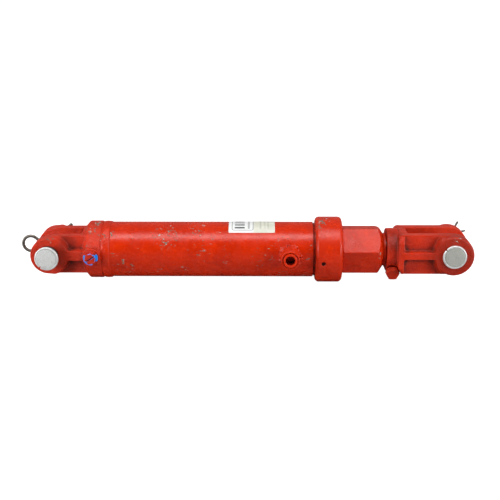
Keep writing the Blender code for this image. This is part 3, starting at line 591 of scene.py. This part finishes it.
def soft_seal(name, colour, roughness):
    """Rubber or filled plastic with a mottled, slightly dusty surface."""
    seal = Finish(name)
    mottle = seal.ramp(seal.noise(0.0025, 4.0), 0.35, 0.70)
    light = tuple(min(1.0, 1.6 * channel + 0.01) for channel in colour)
    seal.feed(seal.shader.inputs["Base Color"], seal.mix(mottle, colour, light))
    seal.feed(seal.shader.inputs["Roughness"], seal.ramp(mottle, 0.0, 1.0, roughness, roughness + 0.15))
    seal.bump((seal.noise(0.0008, 3.0), 0.00004))
    return seal.material


def label_vinyl():
    """White and cream sticker: a rounded frame round three bold bars, and columns of grey dashes."""
    vinyl = Finish("label_vinyl", IOR=1.46)
    x, y, z = vinyl.node("ShaderNodeSeparateXYZ", {0: vinyl.place}).outputs
    along = vinyl.math('SUBTRACT', x, float(LABEL_LOW[0]))
    angle = vinyl.math('ARCTAN2', z, vinyl.math('MULTIPLY', y, -1.0))
    up = vinyl.math('MULTIPLY', vinyl.math('SUBTRACT', angle, LABEL_FRONT_ANGLE), float(BARREL_RADIUS))

    def inset(value, low, high):
        """How far a value is beyond the nearer of two limits."""
        offset = vinyl.math('SUBTRACT', value, (low + high) / 2)
        return vinyl.math('SUBTRACT', vinyl.math('ABSOLUTE', offset), (high - low) / 2)

    corner = 0.0025
    out_x = inset(along, 0.0045 + corner, 0.0312 - corner)
    out_y = inset(up, 0.0042 + corner, 0.0464 - corner)
    squares = [vinyl.math('POWER', vinyl.math('MAXIMUM', value, 0.0), 2.0) for value in (out_x, out_y)]
    reach = vinyl.math('SQRT', vinyl.math('ADD', *squares))
    depth = vinyl.math('MINIMUM', vinyl.math('MAXIMUM', out_x, out_y), 0.0)
    from_frame = vinyl.math('SUBTRACT', vinyl.math('ADD', reach, depth), corner)
    frame_line = vinyl.band(from_frame, -0.0004, 0.0004, 0.00025)

    repeat = vinyl.math('FRACT', vinyl.math('MULTIPLY', up, 1.0 / 0.0062))
    bars = vinyl.math('MULTIPLY', vinyl.band(repeat, 0.18, 0.62, 0.03), vinyl.band(along, 0.0078, 0.0205))
    bars = vinyl.math('MULTIPLY', bars, vinyl.band(up, 0.0065, 0.0440))
    dash = vinyl.band(vinyl.math('FRACT', vinyl.math('MULTIPLY', up, 1.0 / 0.0023)), 0.15, 0.80, 0.05)
    dash = vinyl.math('MULTIPLY', dash, vinyl.band(up, 0.0070, 0.0430))
    print_grey = vinyl.math('MULTIPLY', vinyl.band(along, 0.0245, 0.0268), 0.75)
    for column, strength in ((0.0395, 0.34), (0.0450, 0.22), (0.0492, 0.30)):
        faint = vinyl.math('MULTIPLY', vinyl.band(along, column, column + 0.0022), strength)
        print_grey = vinyl.math('MAXIMUM', print_grey, faint)
    print_grey = vinyl.math('MULTIPLY', print_grey, dash)

    cream = vinyl.mix(vinyl.ramp(vinyl.noise(0.012, 3.0), 0.35, 0.70), (0.76, 0.76, 0.66), (0.68, 0.68, 0.57))
    colour = vinyl.mix(vinyl.band(along, 0.0, 0.0318), cream, (0.86, 0.87, 0.86))
    colour = vinyl.mix(vinyl.math('MULTIPLY', frame_line, 0.75), colour, (0.07, 0.07, 0.075))
    colour = vinyl.mix(vinyl.math('MAXIMUM', bars, print_grey), colour, (0.022, 0.022, 0.028))
    specks = vinyl.ramp(vinyl.noise(0.0022, 5.0, roughness=0.7), 0.66, 0.72, 0.0, 0.6)
    colour = vinyl.mix(specks, colour, (0.45, 0.22, 0.17))
    vinyl.feed(vinyl.shader.inputs["Base Color"], colour)
    vinyl.feed(vinyl.shader.inputs["Roughness"], vinyl.ramp(specks, 0.0, 1.0, 0.38, 0.60))
    vinyl.bump((vinyl.noise(0.0080, 2.0), 0.00020), (specks, 0.00005))
    return vinyl.material


def round_barrel(x, angle, radius=BARREL_RADIUS):
    """Point on the barrel at an angle from the ports over the top."""
    return (x, -radius * math.cos(angle), radius * math.sin(angle))


# Castings ------------------------------------------------------------------------------------------------


def clevis_arms(y, z, from_pin, boss_radius, half_height, reach, pocket, edge):
    """Two arms round a pin: round ends, and on each outside a boss and a rib left by two drafted pockets."""
    pocket_centre, pocket_radius, rib_half_height, pocket_reach = pocket
    high, wide = np.abs(z), np.abs(y)
    boss = np.hypot(from_pin, z) - boss_radius
    swell = (half_height - boss_radius) * np.clip(from_pin / (0.4 * boss_radius), 0.0, 1.0)
    bar = both(high - boss_radius - swell, from_pin - reach, 0.0050)
    bar = both(bar, -from_pin)
    bar = both(bar, (high + wide - half_height - HALF_WIDTH + 2.0 * edge) / math.sqrt(2.0), edge)
    arms = both(either(boss, bar), wide - HALF_WIDTH, edge)
    depth = np.maximum(HALF_WIDTH - wide, 0.0)
    round_boss = pocket_radius + 0.30 * depth - np.hypot(from_pin - pocket_centre, z)
    pocket = both(rib_half_height + 0.10 * depth - high, round_boss, 0.0016)
    pocket = both(pocket, from_pin - pocket_reach + 0.12 * depth, 0.0025)
    pocket = both(pocket, WEB_HALF_WIDTH - wide, 0.0010)
    arms = without(arms, pocket, 0.0006)
    return without(arms, np.hypot(from_pin, z) - PIN_BORE_RADIUS, 0.0006)


def base_casting(x, y, z):
    """Base clevis: arms, conical shoulder, round cap, port boss on its pad."""
    pocket = (0.0, BASE_POCKET_RADIUS, BASE_RIB_HALF_HEIGHT, BASE_END)
    arms = clevis_arms(y, z, x, BASE_BOSS_RADIUS, BASE_ARM_HALF_HEIGHT, SHOULDER_END + 0.002, pocket, EDGE)
    out = np.hypot(y, z)
    rise = (BASE_RADIUS - SHOULDER_START_RADIUS) / (SHOULDER_END - SHOULDER_START)
    cone = (out - SHOULDER_START_RADIUS - rise * (x - SHOULDER_START)) / math.hypot(1.0, rise)
    cap = both(out - BASE_RADIUS, cone, 0.0010)
    cap = both(cap, between(x, SHOULDER_START - 0.001, BASE_END), 0.0016)
    cap = either(cap, both(out - SPIGOT_RADIUS, between(x, SHOULDER_END, BASE_HIGH[0])))
    body = either(arms, cap, 0.0012)

    from_port = np.hypot(x - BASE_PORT_X, z)
    boss = both(from_port - PORT_BOSS_RADIUS, between(-y, 0.020, BASE_PORT_FACE), 0.0008)
    pad = both(between(x, BASE_PORT_X - 0.0075, BASE_END - 0.0025), np.abs(z) - 0.0090, 0.0020)
    pad = both(pad, between(-y, 0.020, 0.0388), 0.0010)
    body = either(either(body, pad, 0.0012), boss, 0.0010)
    hole = both(from_port - PORT_HOLE_RADIUS, 0.030 + y)
    slot = both(np.abs(y) - SLOT_HALF_WIDTH, x - BASE_SLOT_FLOOR, 0.0030)
    return without(without(body, hole, 0.0004), slot, EDGE)


def rod_casting(x, y, z):
    """Rod clevis: arms, block, split hub and the two lugs of the pinch bolt."""
    from_pin = PIN_CENTRES - x
    pocket = (ROD_POCKET_CENTRE, ROD_POCKET_RADIUS, ROD_RIB_HALF_HEIGHT, PIN_CENTRES - ROD_POCKET_START)
    reach = PIN_CENTRES - BLOCK_START
    arms = clevis_arms(y, z, from_pin, ROD_BOSS_RADIUS, ROD_ARM_HALF_HEIGHT, reach, pocket, 0.0030)
    out = np.hypot(y, z)
    hub = both(out - HUB_RADIUS, between(x, CLEVIS_LOW[0], BLOCK_START + 0.0015), 0.0014)
    from_bolt = np.hypot(x - BOLT_X, z - BOLT_Z)
    lug = both(np.abs(x - BOLT_X) - LUG_RADIUS, between(z, BOLT_Z, -0.010))
    lug = both(either(lug, from_bolt - LUG_RADIUS), np.abs(y) - LUG_HALF_WIDTH - 0.001, 0.0010)
    body = either(either(arms, hub, 0.0016), lug, 0.0015)
    spot_face = both(from_bolt - SPOT_FACE_RADIUS, LUG_HALF_WIDTH - np.abs(y))
    slot = both(np.abs(y) - SLOT_HALF_WIDTH, ROD_SLOT_FLOOR - x, 0.0035)
    split = both(np.abs(y) - SPLIT_HALF_WIDTH, np.maximum(x - BLOCK_START - 0.0035, z + 0.005))
    bore = both(out - ROD_RADIUS - 0.0004, x - 0.470)
    body = without(body, spot_face, 0.0008)
    for opening in (slot, split, bore):
        body = without(body, opening, 0.0009)
    return without(body, from_bolt - BOLT_HOLE_RADIUS)


# Machined pieces -----------------------------------------------------------------------------------------


def ring_solid(x, y, z):
    """Gland ring: chamfered outside, threaded bore, lip, and two spanner holes."""
    out = np.hypot(y, z)
    middle, half = (RING_LOW[0] + RING_HIGH[0]) / 2, (RING_HIGH[0] - RING_LOW[0]) / 2
    from_middle = np.abs(x - middle)
    ring = both(out - RING_RADIUS, from_middle - half)
    chamfer = (out + from_middle - (RING_RADIUS + half - 0.0029)) / math.sqrt(2.0)
    ring = both(ring, chamfer, 0.0009)
    bore = np.minimum(out - RING_LIP_RADIUS, both(out - THREAD_RADIUS - 0.0004, x - RING_LIP_START))
    sideways = y * math.sin(SPANNER_ANGLE) + z * math.cos(SPANNER_ANGLE)
    towards = np.abs(z * math.sin(SPANNER_ANGLE) - y * math.cos(SPANNER_ANGLE))
    hole = both(np.hypot(x - SPANNER_X, sideways) - SPANNER_RADIUS, SPANNER_FLOOR - towards)
    return without(without(ring, bore, 0.0006), hole, 0.0007)


def stop_nut_solid(x, y, z):
    """Long hexagon nut: turned chamfers, a round neck at the clevis end, the rod's bore."""
    out = np.hypot(y, z)
    hexagon = hexagonal(-y, z, STOP_FLATS, STOP_FACE_ANGLE)
    taper = (out - STOP_NECK_RADIUS - STOP_TAPER * (STOP_HEX_END - x)) / math.hypot(1.0, STOP_TAPER)
    corner = STOP_FLATS / math.sqrt(3.0)
    lead = (out - corner + 0.0014 - (x - NUT_LOW[0])) / math.sqrt(2.0)
    nut = both(hexagon, between(x, NUT_LOW[0], STOP_HEX_END + 0.002), 0.0004)
    nut = both(both(nut, taper, 0.0005), lead, 0.0005)
    neck = both(out - STOP_NECK_RADIUS, between(x, 0.400, NUT_HIGH[0]), 0.0006)
    return without(either(nut, neck, 0.0005), out - ROD_RADIUS - 0.0003, 0.0006)


def head_port_solid(x, y, z):
    """Port boss with a lumpy weld fillet down to the barrel."""
    u, v = x - HEAD_PORT_X, z
    from_port = np.hypot(u, v)
    face = -BOSS_LOW[1]
    boss = both(from_port - HEAD_BOSS_RADIUS, between(-y, 0.030, face), 0.0008)
    barrel = np.hypot(y, z) - BARREL_RADIUS + 0.0001
    angle = np.arctan2(v, u)
    wander = angle + 0.30 * np.sin(3.0 * angle + 1.0) + 0.10 * np.sin(7.0 * angle)
    lumps = 0.00085 * np.sin(11.0 * wander + 260.0 * (from_port - 0.012))
    lumps = lumps + 0.00035 * np.sin(23.0 * angle + 2.0)
    lumps = lumps * np.clip((from_port - 0.0120) / 0.0015, 0.0, 1.0)
    weld = either(boss, both(barrel, from_port - 0.0175), 0.0048) + lumps
    weld = both(weld, from_port - HEAD_WELD_RADIUS, 0.0006)
    weld = both(weld, 0.034 - np.hypot(y, z))
    return without(weld, both(from_port - HEAD_BOSS_BORE, 0.0395 + y), 0.0006)


def plug_solid(x, y, z):
    """Slotted hexagon plug with a round flange."""
    u, v = x - BASE_PORT_X, z
    from_port = np.hypot(u, v)
    seat, top = BASE_PORT_FACE + 0.0003, -PLUG_LOW[1]
    flange = both(from_port - PLUG_FLANGE_RADIUS, between(-y, seat, seat + PLUG_FLANGE_HEIGHT), 0.0005)
    head = both(hexagonal(u, v, PLUG_FLATS, math.radians(105.0)), between(-y, seat, top), 0.0004)
    shank = both(from_port - 0.0062, between(-y, 0.031, seat + 0.001))
    turn = math.radians(33.0)
    slot = both(np.abs(v * math.cos(turn) - u * math.sin(turn)) - 0.0009, top - 0.0024 + y)
    return without(either(either(flange, head, 0.0004), shank), slot, 0.0002)


def bolt_solid(x, y, z):
    """Pinch bolt: chamfered hexagon head and its shank."""
    u, v = x - BOLT_X, z - BOLT_Z
    out = np.hypot(u, v)
    head_top = -BOLT_LOW[1]
    seat = head_top - BOLT_HEAD_HEIGHT
    head = both(hexagonal(u, v, BOLT_FLATS, math.pi / 2), between(-y, seat, head_top), 0.0004)
    crown = (out - 0.0078 + 1.6 * (-y - head_top)) / math.hypot(1.0, 1.6)
    head = both(head, crown, 0.0004)
    return either(head, both(out - BOLT_RADIUS, between(-y, -BOLT_HIGH[1], seat + 0.001), 0.0005))


def bolt_nut_solid(x, y, z):
    """Pinch bolt's nut, crowned on its outer face."""
    u, v = x - BOLT_X, z - BOLT_Z
    out = np.hypot(u, v)
    low, high = BOLT_NUT_LOW[1], BOLT_NUT_HIGH[1]
    nut = both(hexagonal(u, v, BOLT_FLATS, math.pi / 2), between(y, low, high), 0.0004)
    crown = (out - 0.0078 + 1.6 * (y - high)) / math.hypot(1.0, 1.6)
    return without(both(nut, crown, 0.0004), out - BOLT_HOLE_RADIUS, 0.0004)


def weld_ripple(along, angles):
    """Overlapping crescents of a hand-laid bead."""
    ripple = np.sin(38.0 * angles + 700.0 * along + 2.0 * np.sin(7.0 * angles))
    return 0.00014 * ripple + 0.00014 * np.sin(5.0 * angles + 1.0) * math.sin(400.0 * along)


def barrel():
    """Tube with two thread grooves beyond its shoulder, and the head port's hole."""
    groove = 0.0009
    first = BARREL_LOW[0] + 0.0005
    corners = [(first, BORE_RADIUS, 0.0), (first, BARREL_RADIUS - 0.0015, 0.0),
               (BARREL_LOW[0] + 0.0040, BARREL_RADIUS, 0.0), (BARREL_SHOULDER, BARREL_RADIUS, 0.0005)]
    for turn in range(2):
        start = BARREL_SHOULDER + 0.0002 + turn * 0.0017
        corners += [(start, THREAD_RADIUS - 0.0012, 0.0), (start + groove, THREAD_RADIUS - 0.0012, 0.0),
                    (start + groove, THREAD_RADIUS, 0.0)]
    corners += [(BARREL_HIGH[0], THREAD_RADIUS, 0.0008), (BARREL_HIGH[0], BORE_RADIUS, 0.0)]
    tube_piece = turned("barrel", rounded(corners), steps=192)
    hole = turned("hole", [(0.025, 0.0), (0.045, 0.0), (0.045, 0.005), (0.025, 0.005)], TO_PORTS,
                  (HEAD_PORT_X, 0.0, 0.0), 48)
    return bored(tube_piece, hole)


def clevis_pin(name, low, high, hole_radius, hole_angle):
    """Pin with a centre mark and a ring groove at the near end, and a cross hole at the far end."""
    centre_x = (low[0] + high[0]) / 2
    near, far = -low[1], -high[1]
    groove_top = near - RING_FROM_END + RING_WIRE_RADIUS
    groove_low = near - RING_FROM_END - RING_WIRE_RADIUS
    corners = [(far, 0.0, 0.0), (far, PIN_RADIUS, 0.0016), (groove_low, PIN_RADIUS, 0.0003),
               (groove_low, RING_GROOVE_RADIUS, 0.0), (groove_top, RING_GROOVE_RADIUS, 0.0),
               (near - 0.0002, PIN_RADIUS - 0.0003, 0.0006),
               (near, PIN_RADIUS - 0.0012, 0.0004), (near, 0.0008, 0.0003), (near - 0.0007, 0.0, 0.0)]
    pin = turned(name, rounded(corners), TO_PORTS, (centre_x, 0.0, 0.0), 128)
    across = np.array(((math.cos(hole_angle), 0.0, math.sin(hole_angle)), (0.0, 1.0, 0.0),
                       (-math.sin(hole_angle), 0.0, math.cos(hole_angle))))
    drill = [(-0.02, 0.0), (0.02, 0.0), (0.02, hole_radius), (-0.02, hole_radius)]
    return bored(pin, turned("hole", drill, across, (centre_x, high[1] - PIN_HOLE_FROM_END, 0.0), 40))


def arc(centre, radius, start, stop, count):
    """Points on a circle, both ends included; angles in degrees."""
    angles = np.radians(np.linspace(start, stop, count))
    return [(centre[0] + radius * math.cos(a), centre[1] + radius * math.sin(a)) for a in angles]


def snap_ring(name, node, gap_angle):
    """Round wire ring with a gap, in its pin's groove."""
    low, high = box(node)
    route = arc(((low[0] + high[0]) / 2, 0.0), RING_WIRE_CENTRE, gap_angle + 6.0, gap_angle + 354.0, 120)
    return tube(name, route, (low[1] + high[1]) / 2, RING_WIRE_RADIUS)


def along_clip(points, centre_x, angle):
    """Points given along and across a clip, turned to its angle about its pin's centre."""
    cosine, sine = math.cos(angle), math.sin(angle)
    return [(centre_x + u * cosine - n * sine, u * sine + n * cosine) for u, n in points]


def smooth_through(points, steps=10):
    """Catmull-Rom curve through points."""
    knots = [np.array(point) for point in points]
    knots = [2 * knots[0] - knots[1], *knots, 2 * knots[-1] - knots[-2]]
    route = []
    for before, here, after, beyond in zip(knots, knots[1:], knots[2:], knots[3:]):
        for t in np.arange(steps) / steps:
            linear = (after - before) * t
            square = (2 * before - 5 * here + 4 * after - beyond) * t * t
            cube = (3 * here - before - 3 * after + beyond) * t ** 3
            route.append(tuple(here + (linear + square + cube) / 2))
    return route + [tuple(knots[-2])]


def r_clip():
    """Hairpin: a straight leg through the pin, a round loop, and the bent leg that snaps over the pin."""
    loop_radius = 0.0103
    straight = [(u, 0.0) for u in np.linspace(0.0205, -0.0250, 24)]
    loop = arc((-0.0366, loop_radius), loop_radius, 270.0, 25.0, 69)
    hump = [(-0.0256, 0.0119), (-0.0215, 0.0104), (-0.0155, 0.0112), (-0.0090, 0.0140), (0.0, 0.0159),
            (0.0110, 0.0133), (0.0170, 0.0128), (0.0250, 0.0152)]
    route = straight + smooth_through(loop[::4] + hump)
    low, high = box("base_r_clip")
    return tube("r_clip", along_clip(route, 0.0, R_CLIP_ANGLE), (low[1] + high[1]) / 2, 0.0020)


def split_pin():
    """Cotter: an eye, two legs side by side through the pin, spread beyond it."""
    wire_radius = 0.0014
    side = wire_radius + 0.00005
    eye = arc((-0.0190, 0.0), 0.0032, 50.0, 310.0, 14)
    upper = [(0.0290, 0.0078), (0.0230, 0.0052), (0.0172, 0.0026), (0.0145, side), (0.0, side), (-0.0145, side)]
    lower = [(u, -n) for u, n in upper[::-1]]
    low, high = box("rod_split_pin")
    route = along_clip(smooth_through(upper + eye + lower), PIN_CENTRES, SPLIT_PIN_ANGLE)
    return tube("split_pin", route, (low[1] + high[1]) / 2, wire_radius, 16)


def label_sheet():
    """Thin sticker bent over the barrel, with rounded corners and faint raised ridges across it."""
    rows, columns = 90, 60
    width, length = LABEL_HIGH[0] - LABEL_LOW[0], (LABEL_BACK_ANGLE - LABEL_FRONT_ANGLE)
    points = []
    for layer_radius in (BARREL_RADIUS + 0.00005, BARREL_RADIUS + 0.00030):
        for row in np.linspace(0.0, 1.0, rows):
            for column in np.linspace(0.0, 1.0, columns):
                edge = 0.0009 * (max(abs(2 * row - 1) - 0.96, 0.0) / 0.04) ** 2
                x = LABEL_LOW[0] + edge + (width - 2 * edge) * column
                lift = 0.00012 * max(math.sin(9.0 * column + 3.0 * row), 0.0) ** 6
                points.append(round_barrel(x, LABEL_FRONT_ANGLE + length * row, layer_radius + lift))
    faces = []
    count = rows * columns
    for row in range(rows - 1):
        for column in range(columns - 1):
            a = row * columns + column
            quad = (a, a + 1, a + columns + 1, a + columns)
            faces += [quad, tuple(corner + count for corner in quad[::-1])]
    rim = list(range(columns)) + [r * columns + columns - 1 for r in range(1, rows)]
    rim += [count - 2 - c for c in range(columns - 1)] + [r * columns for r in range(rows - 2, 0, -1)]
    faces += [(a, b, b + count, a + count) for a, b in zip(rim, rim[1:] + rim[:1])]
    return mesh_piece("label_sheet", points, faces)


# Build ---------------------------------------------------------------------------------------------------
top_front = math.radians(62.0)
# The last lists of base_red and rod_red are spots of painted shade on the pockets, boss faces and hub
base_red = red_paint("red_base", 1.0, (
    ((0.004, -0.033, 0.0225), 0.010), (round_barrel(0.053, top_front, BASE_RADIUS), 0.018),
    (round_barrel(0.064, math.radians(84.0), BASE_RADIUS), 0.012), ((0.050, -0.037, 0.012), 0.009),
    (round_barrel(0.0665, math.radians(40.0), BASE_RADIUS), 0.008)), shaded_spots=(
    ((0.024, -0.028, 0.014), 0.016), ((0.024, -0.028, -0.014), 0.016), ((0.010, -HALF_WIDTH, 0.0), 0.018)))
rod_red = red_paint("red_rod_clevis", 0.8, (
    ((PIN_CENTRES + 0.002, -0.033, 0.0235), 0.008), ((PIN_CENTRES - 0.020, 0.030, 0.0256), 0.010)), shaded_spots=(
    ((PIN_CENTRES, -HALF_WIDTH, 0.0), 0.045), ((CLEVIS_LOW[0] + 0.005, -0.018, 0.018), 0.022)))
barrel_red = red_paint("red_barrel", 0.0, (
    (round_barrel(0.150, math.radians(45.0)), 0.028), (round_barrel(0.190, math.radians(60.0)), 0.018),
    (round_barrel(0.082, math.radians(48.0)), 0.008), (round_barrel(0.095, math.radians(-12.0)), 0.006)), 0.13)
weld_red = red_paint("red_weld", 0.5, ((round_barrel(0.068, math.radians(42.0)), 0.010),))
ring_red = red_paint("red_gland_ring", 0.25, (
    (round_barrel(0.344, math.radians(62.0), RING_RADIUS), 0.014),
    (round_barrel(0.350, math.radians(80.0), RING_RADIUS), 0.012),
    (round_barrel(0.345, math.radians(-60.0), RING_RADIUS), 0.007)), 0.10)
nut_red = red_paint("red_stop_nut", 0.35, (((0.4225, -0.030, 0.0), 0.009),), tone=1.0)
port_red = red_paint("red_port", 0.3)
insert_red = red_paint("red_insert", 0.1, tone=1.1)
bolt_red = red_paint("red_bolt", 0.4, tone=0.6)
bright_zinc = bare_metal("bright_zinc", (0.88, 0.89, 0.88), (0.52, 0.52, 0.50), 0.35)
# The base pin's shank between its snap ring and the slot carries painted shade and grease
zinc_with_grease_and_shade = bare_metal("zinc_with_grease_and_shade", (0.88, 0.89, 0.88), (0.52, 0.52, 0.50), 0.35,
                         shade_and_grease=(float(BASE_PIN_LOW[1]) + RING_FROM_END + 0.0005, -SLOT_HALF_WIDTH))
dull_zinc = bare_metal("dull_zinc", (0.56, 0.57, 0.52), (0.34, 0.34, 0.30), 0.35)
clip_steel = bare_metal("spring_steel", (0.26, 0.23, 0.20), (0.12, 0.10, 0.09), 0.85, 0.40)
chrome = bare_metal("hard_chrome", (0.62, 0.63, 0.64), (0.52, 0.53, 0.54), 1.0, 0.16, 0.0004)
turned_steel = bare_metal("turned_steel", (0.42, 0.41, 0.40), (0.25, 0.24, 0.23), 1.0, 0.34)
black_rubber = soft_seal("black_rubber", (0.016, 0.016, 0.017), 0.55)
bronze_plastic = soft_seal("seal_plastic", (0.10, 0.16, 0.12), 0.42)

show(carved("base_casting", base_casting, BASE_LOW, BASE_HIGH), "base_clevis", base_red)
show(carved("rod_casting", rod_casting, CLEVIS_LOW, CLEVIS_HIGH), "rod_clevis", rod_red)
show(carved("ring_nut", ring_solid, RING_LOW, RING_HIGH), "gland_ring", ring_red)
show(carved("hex_stop", stop_nut_solid, NUT_LOW, NUT_HIGH, 0.0004), "stop_nut", nut_red)
show(carved("port_boss", head_port_solid, BOSS_LOW, BOSS_HIGH + 0.005, 0.00028, 0.5),
     "head_port_boss", port_red)
show(carved("port_plug", plug_solid, PLUG_LOW, PLUG_HIGH, 0.00018), "base_port_plug", plug_blue())
show(carved("bolt", bolt_solid, BOLT_LOW, BOLT_HIGH, 0.00025), "pinch_bolt", bolt_red)
show(carved("bolt_nut", bolt_nut_solid, BOLT_NUT_LOW, BOLT_NUT_HIGH, 0.00025), "pinch_nut", bolt_red)
show(barrel(), "barrel_tube", barrel_red)

weld_high = box("barrel_weld")[1]
weld_outline = rounded([(0.0640, 0.0320, 0.0), (0.0640, 0.0356, 0.0), (0.0672, 0.0357, 0.002),
                        (0.0694, 0.0366, 0.003), (0.0727, BASE_RADIUS - 0.0001, 0.004), (0.0765, 0.0364, 0.002),
                        (weld_high[0] - 0.0002, BARREL_RADIUS - 0.0002, 0.0), (0.0770, 0.0330, 0.0)], 8)
show(finished_mesh(turned("weld_bead", weld_outline, steps=288, relief=weld_ripple)), "barrel_weld", weld_red)

insert_face, insert_radius = -INSERT_LOW[1], INSERT_HIGH[2]
insert_outline = rounded([(-INSERT_HIGH[1], INSERT_BORE, 0.0), (-INSERT_HIGH[1], insert_radius, 0.0),
                          (insert_face, insert_radius, 0.0008), (insert_face, INSERT_BORE, 0.0006)])
show(finished_mesh(turned("port_insert", insert_outline, TO_PORTS, (HEAD_PORT_X, 0.0, 0.0), 96)),
     "head_port_insert", insert_red)

show(label_sheet(), "label", label_vinyl())
show(clevis_pin("base_clevis_pin", BASE_PIN_LOW, BASE_PIN_HIGH, R_CLIP_HOLE_RADIUS, R_CLIP_ANGLE),
     "base_pin", zinc_with_grease_and_shade)
show(clevis_pin("rod_clevis_pin", ROD_PIN_LOW, ROD_PIN_HIGH, SPLIT_PIN_HOLE_RADIUS, SPLIT_PIN_ANGLE),
     "rod_pin", dull_zinc)
show(snap_ring("base_wire_ring", "base_snap_ring", BASE_RING_GAP), "base_snap_ring", bright_zinc)
show(snap_ring("rod_wire_ring", "rod_snap_ring", ROD_RING_GAP), "rod_snap_ring", bright_zinc)
show(r_clip(), "base_r_clip", clip_steel)
show(split_pin(), "rod_split_pin", clip_steel)

rod_outline = rounded([(ROD_LOW[0], 0.0, 0.0), (ROD_LOW[0], ROD_SPIGOT_RADIUS, 0.0008),
                       (ROD_SHOULDER, ROD_SPIGOT_RADIUS, 0.0), (ROD_SHOULDER, ROD_RADIUS, 0.0006),
                       (ROD_HIGH[0], ROD_RADIUS, 0.0010), (ROD_HIGH[0], 0.0, 0.0)])
show(finished_mesh(turned("chrome_rod", rod_outline, steps=128)), "piston_rod", chrome)

for node, finish in (("gland", turned_steel), ("piston", turned_steel), ("piston_nut", turned_steel),
                     ("gland_o_ring", black_rubber), ("rod_seal", black_rubber), ("rod_wiper", black_rubber),
                     ("piston_seal", bronze_plastic), ("piston_wear_ring", bronze_plastic)):
    mesh = frame["nodes"][node].data
    mesh.materials.clear()
    mesh.materials.append(finish)

# Floor, light and camera ---------------------------------------------------------------------------------
middle = (cad_box[0] + cad_box[1]) / 2


def floor():
    """Plain pale floor just under the object, lit from below for the camera like a light table."""
    size = 40.0
    height = cad_box[0].z - 0.0002
    mesh = bpy.data.meshes.new("floor")
    mesh.from_pydata([(middle.x + a * size, b * size, height) for a, b in ((-1, -1), (1, -1), (1, 1), (-1, 1))],
                     [], [(0, 1, 2, 3)])
    item = bpy.data.objects.new("floor", mesh)
    bpy.context.scene.collection.objects.link(item)
    table = Finish("floor", Roughness=0.9, Emission_Color=(1.0, 1.0, 1.0))
    path = table.node("ShaderNodeLightPath").outputs
    seen = path["Is Camera Ray"]
    grey = table.mix(path["Is Glossy Ray"], (0.50, 0.50, 0.50), (0.06, 0.06, 0.06))
    table.feed(table.shader.inputs["Base Color"], grey)
    table.feed(table.shader.inputs["Emission Strength"], table.math('MULTIPLY', seen, 0.97))
    mesh.materials.append(table.material)


def softbox(name, elevation, azimuth, distance, size, energy, mirrored=True):
    """Rectangular light aimed at the object from an azimuth, 0 being the camera's side."""
    data = bpy.data.lights.new(name, 'AREA')
    data.shape = 'RECTANGLE'
    data.size, data.size_y = size
    data.energy = energy
    item = bpy.data.objects.new(name, data)
    item.visible_glossy = mirrored
    rise, turn = math.radians(elevation), math.radians(azimuth)
    towards = Vector((math.cos(rise) * math.sin(turn), -math.cos(rise) * math.cos(turn), math.sin(rise)))
    item.location = middle + distance * towards
    item.rotation_euler = towards.to_track_quat('Z', 'Y').to_euler()
    bpy.context.scene.collection.objects.link(item)


def studio_world():
    """White room behind and above the object, dim in front of it."""
    world = bpy.data.worlds.new("studio")
    world.use_nodes = True
    tree = world.node_tree
    direction = tree.nodes.new("ShaderNodeTexCoord").outputs["Generated"]
    parts = tree.nodes.new("ShaderNodeSeparateXYZ")
    back = tree.nodes.new("ShaderNodeMapRange")
    for name, value in (("From Min", -0.30), ("From Max", 0.60), ("To Min", 0.02), ("To Max", 0.25)):
        back.inputs[name].default_value = value
    ray = tree.nodes.new("ShaderNodeLightPath").outputs["Is Camera Ray"]
    lift = tree.nodes.new("ShaderNodeMath")
    lift.operation = 'MAXIMUM'
    tree.links.new(direction, parts.inputs[0])
    tree.links.new(parts.outputs[1], back.inputs["Value"])
    tree.links.new(back.outputs[0], lift.inputs[0])
    tree.links.new(ray, lift.inputs[1])
    tree.links.new(lift.outputs[0], tree.nodes["Background"].inputs["Strength"])
    tree.nodes["Background"].inputs["Color"].default_value = (1.0, 1.0, 1.0, 1.0)
    bpy.context.scene.world = world


def camera():
    """Long lens a little above the object, square to its side."""
    data = bpy.data.cameras.new("camera")
    data.lens, data.sensor_width = 71.87, 36.0
    data.clip_end = 100.0
    item = bpy.data.objects.new("camera", data)
    item.location = (0.271072, -1.244883, 0.360606)
    turn, down, roll = math.radians(0.713), math.radians(16.216), math.radians(-0.125)
    forward = Vector((-math.sin(turn) * math.cos(down), math.cos(turn) * math.cos(down), -math.sin(down)))
    aim = forward.to_track_quat('-Z', 'Y').to_matrix() @ Matrix.Rotation(roll, 3, 'Z')
    item.rotation_euler = aim.to_euler()
    bpy.context.scene.collection.objects.link(item)
    bpy.context.scene.camera = item


floor()
softbox("top_softbox", 68.0, 0.0, 1.3, (1.9, 0.46), 16.5)
softbox("left_softbox", 5.0, -62.0, 1.4, (0.7, 0.9), 15.0)
softbox("right_softbox", 5.0, 62.0, 1.4, (0.7, 0.9), 14.0)
softbox("back_softbox", 12.0, 180.0, 1.6, (1.4, 0.6), 7.0, mirrored=False)
studio_world()
camera()
bpy.context.scene.view_settings.view_transform = 'Standard'
